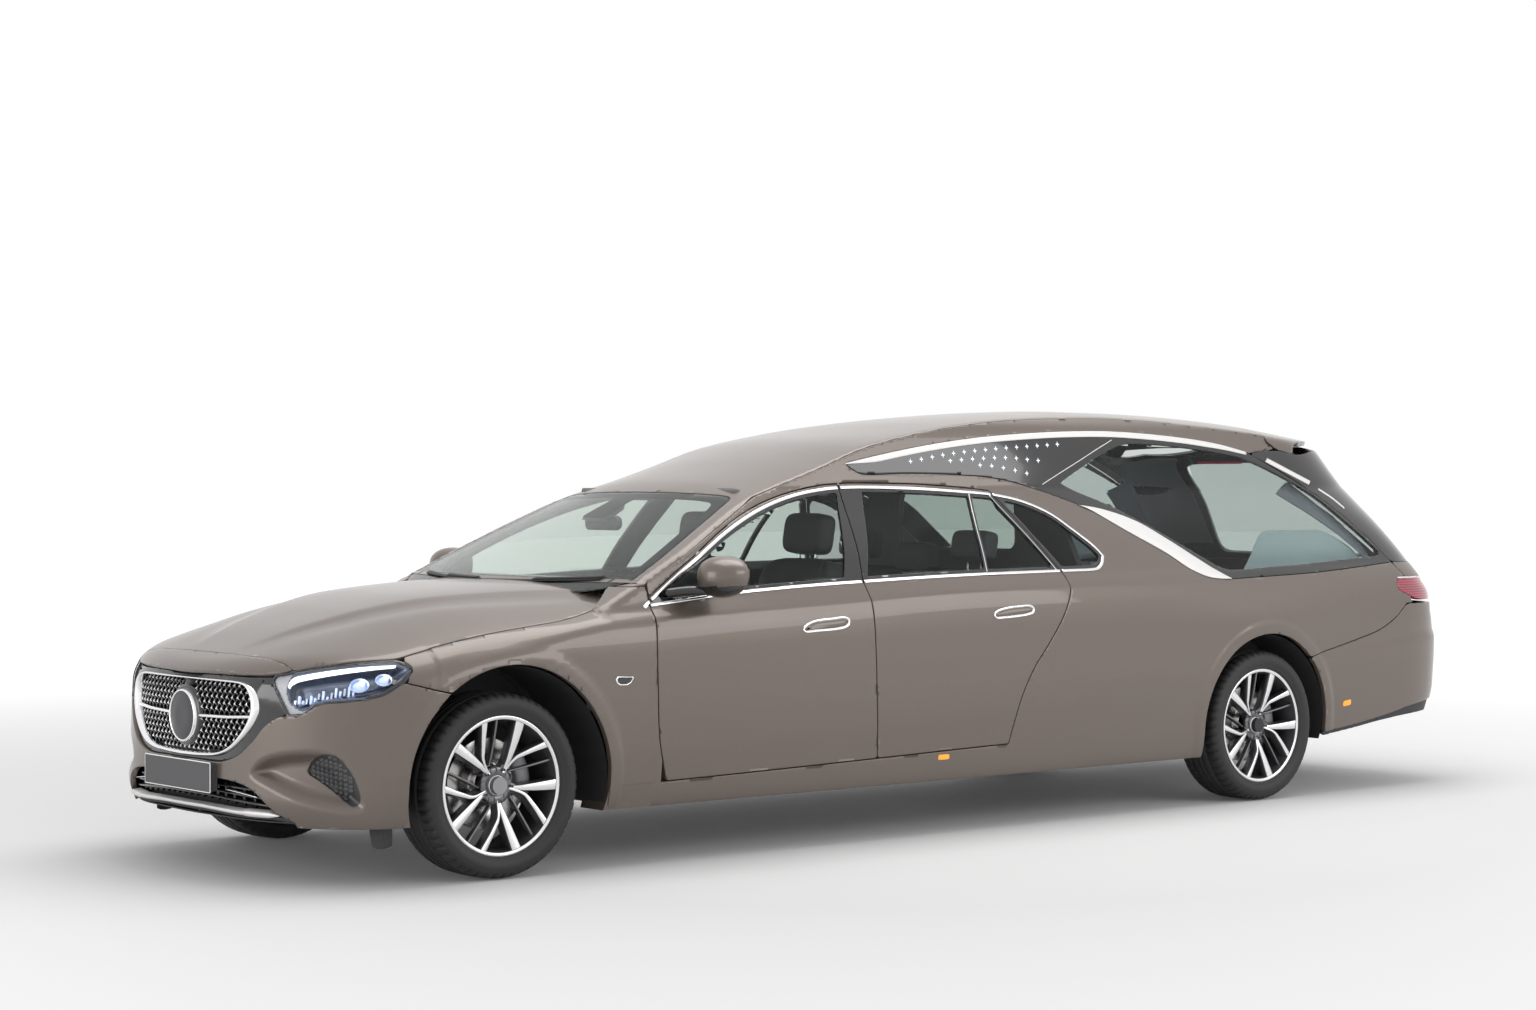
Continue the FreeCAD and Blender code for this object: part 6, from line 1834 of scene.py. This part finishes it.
def rod(start, end, radius, count=12):
    start, end = np.asarray(start, float), np.asarray(end, float)
    along = (end - start) / np.linalg.norm(end - start)
    side = np.cross(along, (0.31, 0.22, 0.93))
    side /= np.linalg.norm(side)
    other = np.cross(along, side)
    turn = circle(count)
    ring = np.cos(turn)[:, None] * side + np.sin(turn)[:, None] * other
    rows = [start + ring * radius * 0.7, start + along * 1.5 + ring * radius,
            end - along * 1.5 + ring * radius, end + ring * radius * 0.7]
    return np.vstack(rows), grid_faces(4, count) + ring_ends(4, count)


for side, y0 in (("left", -370.0), ("right", 370.0)):
    pads = stack_up([(0, cushion((1610, y0, 500), (66, 238, 265), tilt=-82, bolster=26, seams=(150,))),
                     (0, cushion((1890, y0, 850), (58, 232, 322), tilt=14, bolster=34, seams=(148,))),
                     (0, cushion((1975, y0, 1272), (46, 128, 88), tilt=10, bolster=6))])
    seat = build("front_seat_pads_" + side, pads[0], pads[1], seat_cloth)
    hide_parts("front_seats")
    hard = stack_up([(0, rod((1958, y0 - 55, 1120), (1970, y0 - 55, 1240), 7)),
                     (0, rod((1958, y0 + 55, 1120), (1970, y0 + 55, 1240), 7))] +
                    [(1, rod((1360, y0 + dy, 338), (1880, y0 + dy, 338), 13)) for dy in (-190, 190)] +
                    [(1, rod((px, y0 + dy, 338), (px + 30, y0 + dy * 0.9, 440), 12)) for dy in (-190, 190)
                     for px in (1420, 1780)])
    build("front_seat_frame_" + side, hard[0], hard[1], [bright_trim, dark_satin], flags=hard[2])
pads = stack_up([(0, cushion((2680, 0, 470), (66, 600, 250), tilt=-82, bolster=10, seams=(205,))),
                 (0, cushion((2880, 0, 810), (58, 596, 300), tilt=14, bolster=8, seams=(205,)))] +
                [(1, cushion((2945, y0, high), (42, 118, 68), tilt=10, bolster=5))
                 for y0, high in ((-390, 1208), (0, 1150), (390, 1208))])
bench = build("rear_bench_pads", pads[0], pads[1], [seat_cloth, pale_cloth], flags=pads[2])
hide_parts("rear_seats")
hard = stack_up([(0, rod((2940, y0 + dy, 1050), (2946, y0 + dy, 1160), 6)) for y0 in (-390, 0, 390)
                 for dy in (-45, 45)] +
                [(1, rod((2500, y0, 330), (2880, y0, 330), 14)) for y0 in (-500, 500)] +
                [(1, rod((px, y0, 330), (px, y0, 430), 12)) for y0 in (-500, 500) for px in (2560, 2840)])
build("rear_bench_frame", hard[0], hard[1], [bright_trim, dark_satin], flags=hard[2])
# dashboard: one profile swept across the cabin, then its screen, vents and bright line
DASH = [(612, 930), (700, 958), (820, 968), (905, 958), (944, 930), (952, 905), (946, 862), (918, 812),
        (880, 774), (800, 764), (700, 768), (620, 790)]
profile = even(curve(DASH[:6], DASH[6:], closed=False), 40)
across = np.linspace(-688, 688, 60)
hump = 26 * np.exp(-((across + 370) / 150) ** 4)
dash = np.stack([np.stack([profile[:, 0] + 14 - 26 * (y / 688) ** 2, np.full(40, y),
                           profile[:, 1] + h * np.clip((profile[:, 1] - 900) / 60, 0, 1)], 1)
                 for y, h in zip(across, hump)])
dash_piece = build("dashboard_top", dash.reshape(-1, 3),
                   grid_faces(*dash.shape[:2]) + flipped(ring_ends(*dash.shape[:2])),
                   dash_skin)
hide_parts("dashboard")


def leant(verts, tilt):
    """Points turned about the car's cross axis."""
    a, (x, y, z) = math.radians(tilt), verts.T
    return np.stack([x * math.cos(a) - z * math.sin(a), y, z * math.cos(a) + x * math.sin(a)], 1)


def slab(center, wide, tall, thick, tilt, corner=12):
    """A rounded plate facing rearward, leant by a tilt."""
    verts, faces = rounded_box(wide, tall, radius=corner, levels=((0, 2), (2, 0), (thick - 2, 0), (thick, 2)))
    return leant(verts, tilt) + center, faces


plates = stack_up([(0, slab((958, -370, 978), 300, 96, thick=14, tilt=12)),
                   (0, slab((966, 60, 898), 340, 150, thick=14, tilt=12)),
                   (1, slab((961, 0, 838), 1180, 7, thick=7, tilt=0, corner=3)),
                   (2, slab((952, -610, 900), 100, 34, thick=10, tilt=0)),
                   (2, slab((952, 610, 900), 100, 34, thick=10, tilt=0)),
                   (2, slab((952, 320, 905), 120, 34, thick=10, tilt=0))])
build("dashboard_screens", plates[0], plates[1], [screen_black, bright_trim, dark_satin],
              flags=plates[2])
console = cushion((1180, 0, 470), (86, 120, 300), tilt=-90, bolster=0, seams=(), power=0.3)
build("centre_console", *console, dash_skin)
# steering wheel: rim with a flat foot, hub and three spokes
turn, tube = np.meshgrid(circle(72), circle(14), indexing="ij")
rim_r = 172 + 14 * np.cos(tube)
ring = np.stack([14 * np.sin(tube), rim_r * np.sin(turn), rim_r * np.cos(turn)], -1)
ring[..., 2] = np.maximum(ring[..., 2], -158 + 0.55 * (ring[..., 2] + 158))
ring_faces = [[a, d, c, b] for a, b, c, d in grid_faces(*ring.shape[:2], ring=True)]
hub = cushion((-20, 0, 0), (34, 74, 62), tilt=0, bolster=0, seams=(), power=0.5)
spokes = [(1, rod((-8, s * 60, 4), (0, s * 168, 12), 13))
          for s in (-1, 1)] + [(1, rod((-10, 0, -50), (-2, 0, -146), 14))]
wheel = stack_up([(0, (ring.reshape(-1, 3), ring_faces)), (0, hub)] + spokes
                 + [(1, rod((-30, 0, 0), (-190, 0, -6), 38))])
steering = build("steering_rim", leant(wheel[0], 26) + (1110, -370, 905), wheel[1], [trim_black, dark_satin],
                 flags=wheel[2])
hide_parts("steering_wheel")
for side, y0 in (("left", -360.0), ("right", 360.0)):
    visor = slab((1480, y0, 1436), 380, 150, thick=16, tilt=74, corner=26)
    build("sun_visor_" + side, *visor, lining_cloth)
# headlining under the whole roof, and pale reveals down the rear pillars
lining = hoops(cabin_form, (1560, 4700, 80), (*OVER, 60), height=1000.0, reach=1200, inset=44)
field = column(ROOF, lining[..., 0], 2) - 60 - lining[..., 2]
build("headlining", *panel(lining, field, depth=6, lip=1.0, over=True), lining_cloth)


# ---- Load space
# Behind a partition with a sliding window lies the bier deck with its rollers and rails. Moulded
# linings cover the sides, pleated silver curtains are tied back at the rear pillars.
brushed = add_spun(shader("brushed_steel", (0.55, 0.56, 0.58), 0.28, 1.0))
pale_lining = grained("pale_lining", (0.58, 0.66, 0.70), 0.5, 160, 0.15)
etched = shader("etched_panel", (0.80, 0.90, 0.95), 0.35, Transmission_Weight=0.45, IOR=1.1)
silver_cloth = grained("silver_curtain", (0.66, 0.67, 0.74), 0.45, 1500, 0.2, metal=0.1)
# partition: a wall cut to the cabin, with a rounded window in a rubber frame
y, z = spread((-800, 800, 64), (806, 1752, 40))
wall = np.stack([np.full(y.shape, 3222.0), y, z], -1)
WINDOW_IN = curve([(-400, 1230), (-393, 1200), (-365, 1190)], [(365, 1190)], [(393, 1200), (400, 1230)],
                  [(392, 1420)],
                  [(384, 1440), (360, 1446)], [(-360, 1446)], [(-384, 1440), (-392, 1420)], [(-400, 1230)])
fit = cabin_form(wall[..., 0], y, z) + 52
verts, faces = facing(*cut_grid(wall, np.maximum(fit, -inside_of(WINDOW_IN, y, z))), (1, 0, 0))
board = build("partition_wall", *with_edge(verts, faces, depth=36, lip=2.0), lining_cloth)
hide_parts("partition")
verts, faces = facing(*cut_grid(wall - (18, 0, 0), inside_of(WINDOW_IN, y, z) - 3), (1, 0, 0))
build("partition_pane", *with_edge(verts, faces, depth=5, lip=0.6), clear_glass)
# deck fittings: side rails, rollers and end stops above the bier board
rails = stack_up([(0, rod((3460, y0, 820), (5240, y0, 820), 9, 14)) for y0 in (-300, 300)] +
                 [(1, rod((3600 + 230 * k, -290, 812), (3600 + 230 * k, 290, 812), 11, 14))
                  for k in range(8)] +
                 [(0, rod((3460 + k * 1780, y0, 801), (3460 + k * 1780, y0, 822), 12, 14)) for k in (0, 1)
                  for y0 in (-300, 300)])
build("bier_rails", rails[0], rails[1], [brushed, trim_black], flags=rails[2])
# side linings from the deck up to the window line, and etched boards standing inside the glass
x, z = spread((3300, 5300, 60), (806, 1120, 10))
y = np.maximum(-(side_half(x, np.maximum(z, 820)) - 108), -760.0)
low_side = np.stack([x, y, z], -1)
inside = cabin_form(x, y, z) + 46
inside = np.maximum(inside, tail_form(x, y, z) + 46)
verts, faces = facing(*cut_grid(low_side, np.maximum(inside, z - 1078)), (0, 1, 0))
verts, faces = both_sides(*with_edge(verts, faces, depth=10, lip=2.0))
build("load_side_linings", verts, faces, pale_lining)
BOARD = curve([(4330, 1082), (4370, 1104), (4560, 1246), (4600, 1262)], [(5010, 1262)],
              [(5050, 1250), (5190, 1170), (5240, 1096)],
              [(4330, 1082)])
x, z = spread((4320, 5260, 60), (1070, 1276, 24))
stand = np.stack([x, -(side_half(x, z) - 96), z], -1)
field = np.maximum(inside_of(BOARD, x, z), tail_form(x, stand[..., 1], z) + 60)
verts, faces = facing(*cut_grid(stand, field), (0, -1, 0))
verts, faces = both_sides(*with_edge(verts, faces, depth=5, lip=1.0))
build("etched_boards", verts, faces, etched)
# pale inner trims of the tailgate sides, and a slim brake lamp at the head of its window
pillar_trim = grained("pillar_trim", (0.34, 0.35, 0.38), 0.6, 700, 0.15)
grid = rear_fan(-1180, 1180, 190, 880, step=16.0, inset=27.0)
X, Y, Z = np.moveaxis(grid, -1, 0)
trim_field = np.maximum.reduce([30 + inside_of(TAIL_EDGE, X, Z), 1110 - Z,
                                22 - inside_of(WINDOW, np.abs(Y), Z) * (X > 4950) - 60 * (X <= 4950),
                                under_spoiler(X, Y, Z) + 30])
build("tailgate_inner_trim", *panel(grid, trim_field, depth=4, lip=0.6), pillar_trim, "tailgate")
lamp_box, lamp_faces = rounded_box(300, 12, radius=5, levels=((0, 3), (2, 0), (8, 0), (10, 2)))
lamp_at = np.stack([-lamp_box[:, 0] + 5040, lamp_box[:, 1], lamp_box[:, 2] + 1596], 1)
build("high_brake_lamp", lamp_at, flipped(lamp_faces), lens_red, "tailgate")
# curtains: gathered on a rod along each rear pillar, hanging in deep pleats
TOP, FOOT = np.array([4930.0, -560.0, 1500.0]), np.array([5440.0, -690.0, 1100.0])
CURTAIN_ROWS, CURTAIN_POINTS, PLEATS = 40, 150, 11
along, across = spread((0, 1, CURTAIN_ROWS), (0, 1, CURTAIN_POINTS))
gather = 150 - 30 * np.sin(along * math.pi)
curtain = TOP * (1 - along[..., None]) + FOOT * along[..., None]
curtain = curtain + np.stack([-across * gather * 0.85, np.abs(np.sin(across * math.pi * PLEATS)) * 17 + 22,
                              -across * gather * 0.45], -1)
x, y, z = np.moveaxis(curtain, -1, 0)
hung = cast(lambda a, b, c: np.maximum(cabin_form(a, b, c), tail_form(a, b, c)),
            np.stack([x * 0.98 + 60, 0 * x, z * 0.9 + 90], -1),
            np.stack([x * 0.02 - 60, y, z * 0.1 - 90], -1) / 700.0, 900, inset=66)
ripple = np.sin(across * math.pi * 2 * PLEATS) * (9 + 4 * np.sin(along * 5))
hung[..., 1] += 10 + ripple
for side, verts, faces in per_side(hung.reshape(-1, 3),
                                   grid_faces(CURTAIN_ROWS, CURTAIN_POINTS, closed=False)):
    cloth = build("pillar_curtain_" + side, verts, faces, silver_cloth)


# ---- Hidden steel and running gear
# What shows under the car and behind the linings: sealed and primed steel, cast alloy engine, coated
# axle, silencer and subframe. These stay as they are in the solids and only take their finishes here.
sealed = grained("sealed_steel", (0.025, 0.025, 0.027), 0.7, 120, 0.4)
cast_alloy = grained("cast_alloy", (0.34, 0.34, 0.35), 0.5, 260, 0.5, metal=0.8)
coated = grained("coated_steel", (0.04, 0.04, 0.042), 0.45, 200, 0.2, metal=0.3)
pipe_steel = grained("pipe_steel", (0.42, 0.40, 0.37), 0.42, 150, 0.2, metal=1.0)
carpet = grained("floor_carpet", (0.03, 0.03, 0.032), 0.95, 1400, 0.6)
for finish, names in ((paint, ("cowl_sides",)),
                      (sealed, ("wheel_houses", "inner_fenders", "firewall", "front_panel")),
                      (carpet, ("floor",)),
                      (cast_alloy, ("engine", "knuckle_front_left", "knuckle_front_right")),
                      (coated, ("front_subframe", "rear_axle")),
                      (pipe_steel, ("exhaust",)), (brushed, ("coffin_deck",))):
    for name in names:
        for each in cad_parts[name].material_slots:
            each.material = finish


# ---- Floor, light and camera
# A plain pale studio sweep, soft lamps overhead, to the left and in front, and a long lens at eye height.
floor_mesh = bpy.data.meshes.new("floor_sweep")
sweep = bmesh.new()
bmesh.ops.create_grid(sweep, x_segments=4, y_segments=4, size=60)
sweep.to_mesh(floor_mesh)
sweep.free()
floor_piece = bpy.data.objects.new("floor_sweep", floor_mesh)
bpy.context.collection.objects.link(floor_piece)
floor_paint = shader("pale_floor", (0.82, 0.82, 0.82), 0.75)
floor_mesh.materials.append(floor_paint)
floor_tree = floor_paint.node_tree
floor_at = node(floor_tree, "ShaderNodeTexCoord")
floor_far = node(floor_tree, "ShaderNodeVectorMath", operation="LENGTH")
wire(floor_tree, floor_at, "Object", floor_far, 0)
floor_lift = node(floor_tree, "ShaderNodeMapRange",
                  {"From Min": 3.0, "From Max": 11.0, "To Min": 0.04, "To Max": 0.66})
wire(floor_tree, floor_far, "Value", floor_lift, "Value")
floor_path = node(floor_tree, "ShaderNodeLightPath")
floor_seen = node(floor_tree, "ShaderNodeMath", operation="MAXIMUM")
wire(floor_tree, floor_path, "Is Camera Ray", floor_seen, 0)
floor_bright = node(floor_tree, "ShaderNodeMath", operation="MAXIMUM")
wire(floor_tree, floor_path, "Is Transmission Ray", floor_bright, 0)
wire(floor_tree, floor_path, "Is Glossy Ray", floor_bright, 1)
wire(floor_tree, floor_bright, 0, floor_seen, 1)
floor_glow = node(floor_tree, "ShaderNodeMath", operation="MULTIPLY")
wire(floor_tree, floor_lift, 0, floor_glow, 0)
wire(floor_tree, floor_seen, 0, floor_glow, 1)
floor_shader = floor_tree.nodes["Principled BSDF"]
floor_shader.inputs["Emission Color"].default_value = (1, 1, 1, 1)
wire(floor_tree, floor_glow, 0, floor_shader, "Emission Strength")

world = bpy.data.worlds.new("studio")
bpy.context.scene.world = world
world.use_nodes = True
sky = world.node_tree
back = sky.nodes["Background"]
path = node(sky, "ShaderNodeLightPath")
white = node(sky, "ShaderNodeBackground", {"Color": (1, 1, 1, 1), "Strength": 1.0})
back.inputs["Color"].default_value = (1, 1, 1, 1)
back.inputs["Strength"].default_value = 0.45
pick = node(sky, "ShaderNodeMixShader")
seen = node(sky, "ShaderNodeMath", operation="MAXIMUM")
wire(sky, path, "Is Camera Ray", seen, 0)
bright = node(sky, "ShaderNodeMath", operation="MAXIMUM")
wire(sky, path, "Is Transmission Ray", bright, 0)
wire(sky, path, "Is Glossy Ray", bright, 1)
wire(sky, bright, 0, seen, 1)
wire(sky, seen, 0, pick, "Fac")
wire(sky, back, 0, pick, 1)
wire(sky, white, 0, pick, 2)
wire(sky, pick, 0, sky.nodes["World Output"], "Surface")


def lamp(name, place_at, aim, size, power):
    data = bpy.data.lights.new(name, "AREA")
    data.shape = "RECTANGLE"
    data.size, data.size_y = size
    data.energy = power
    made = bpy.data.objects.new(name, data)
    bpy.context.collection.objects.link(made)
    made.location = place_at
    made.rotation_mode = "QUATERNION"
    made.rotation_quaternion = (Vector(aim) - Vector(place_at)).to_track_quat("-Z", "Y")
    return made


lamp("top_bank", (0.8, 0, 6.2), (0.8, 0, 0), (7.5, 3.8), 245)
lamp("left_bank", (4.0, -8.3, 4.0), (0.4, 0, 0.8), (7.0, 3.2), 180)
lamp("front_bank", (-9.5, 0.6, 2.2), (-2.8, 0, 0.7), (4.0, 3.0), 110)

camera_data = bpy.data.cameras.new("camera")
camera = bpy.data.objects.new("camera", camera_data)
bpy.context.collection.objects.link(camera)
bpy.context.scene.camera = camera
camera_data.sensor_width = 36
camera_data.lens = 68.04
camera_data.clip_end = 200
camera.location = (-6.184 + front_axle, -9.974, 1.497)
yaw, pitch = math.radians(50.47), math.radians(-0.45)
look = Vector((math.cos(yaw) * math.cos(pitch), math.sin(yaw) * math.cos(pitch), math.sin(pitch)))
camera.rotation_mode = "QUATERNION"
camera.rotation_quaternion = look.to_track_quat("-Z", "Y")
bpy.context.scene.view_settings.view_transform = "Standard"
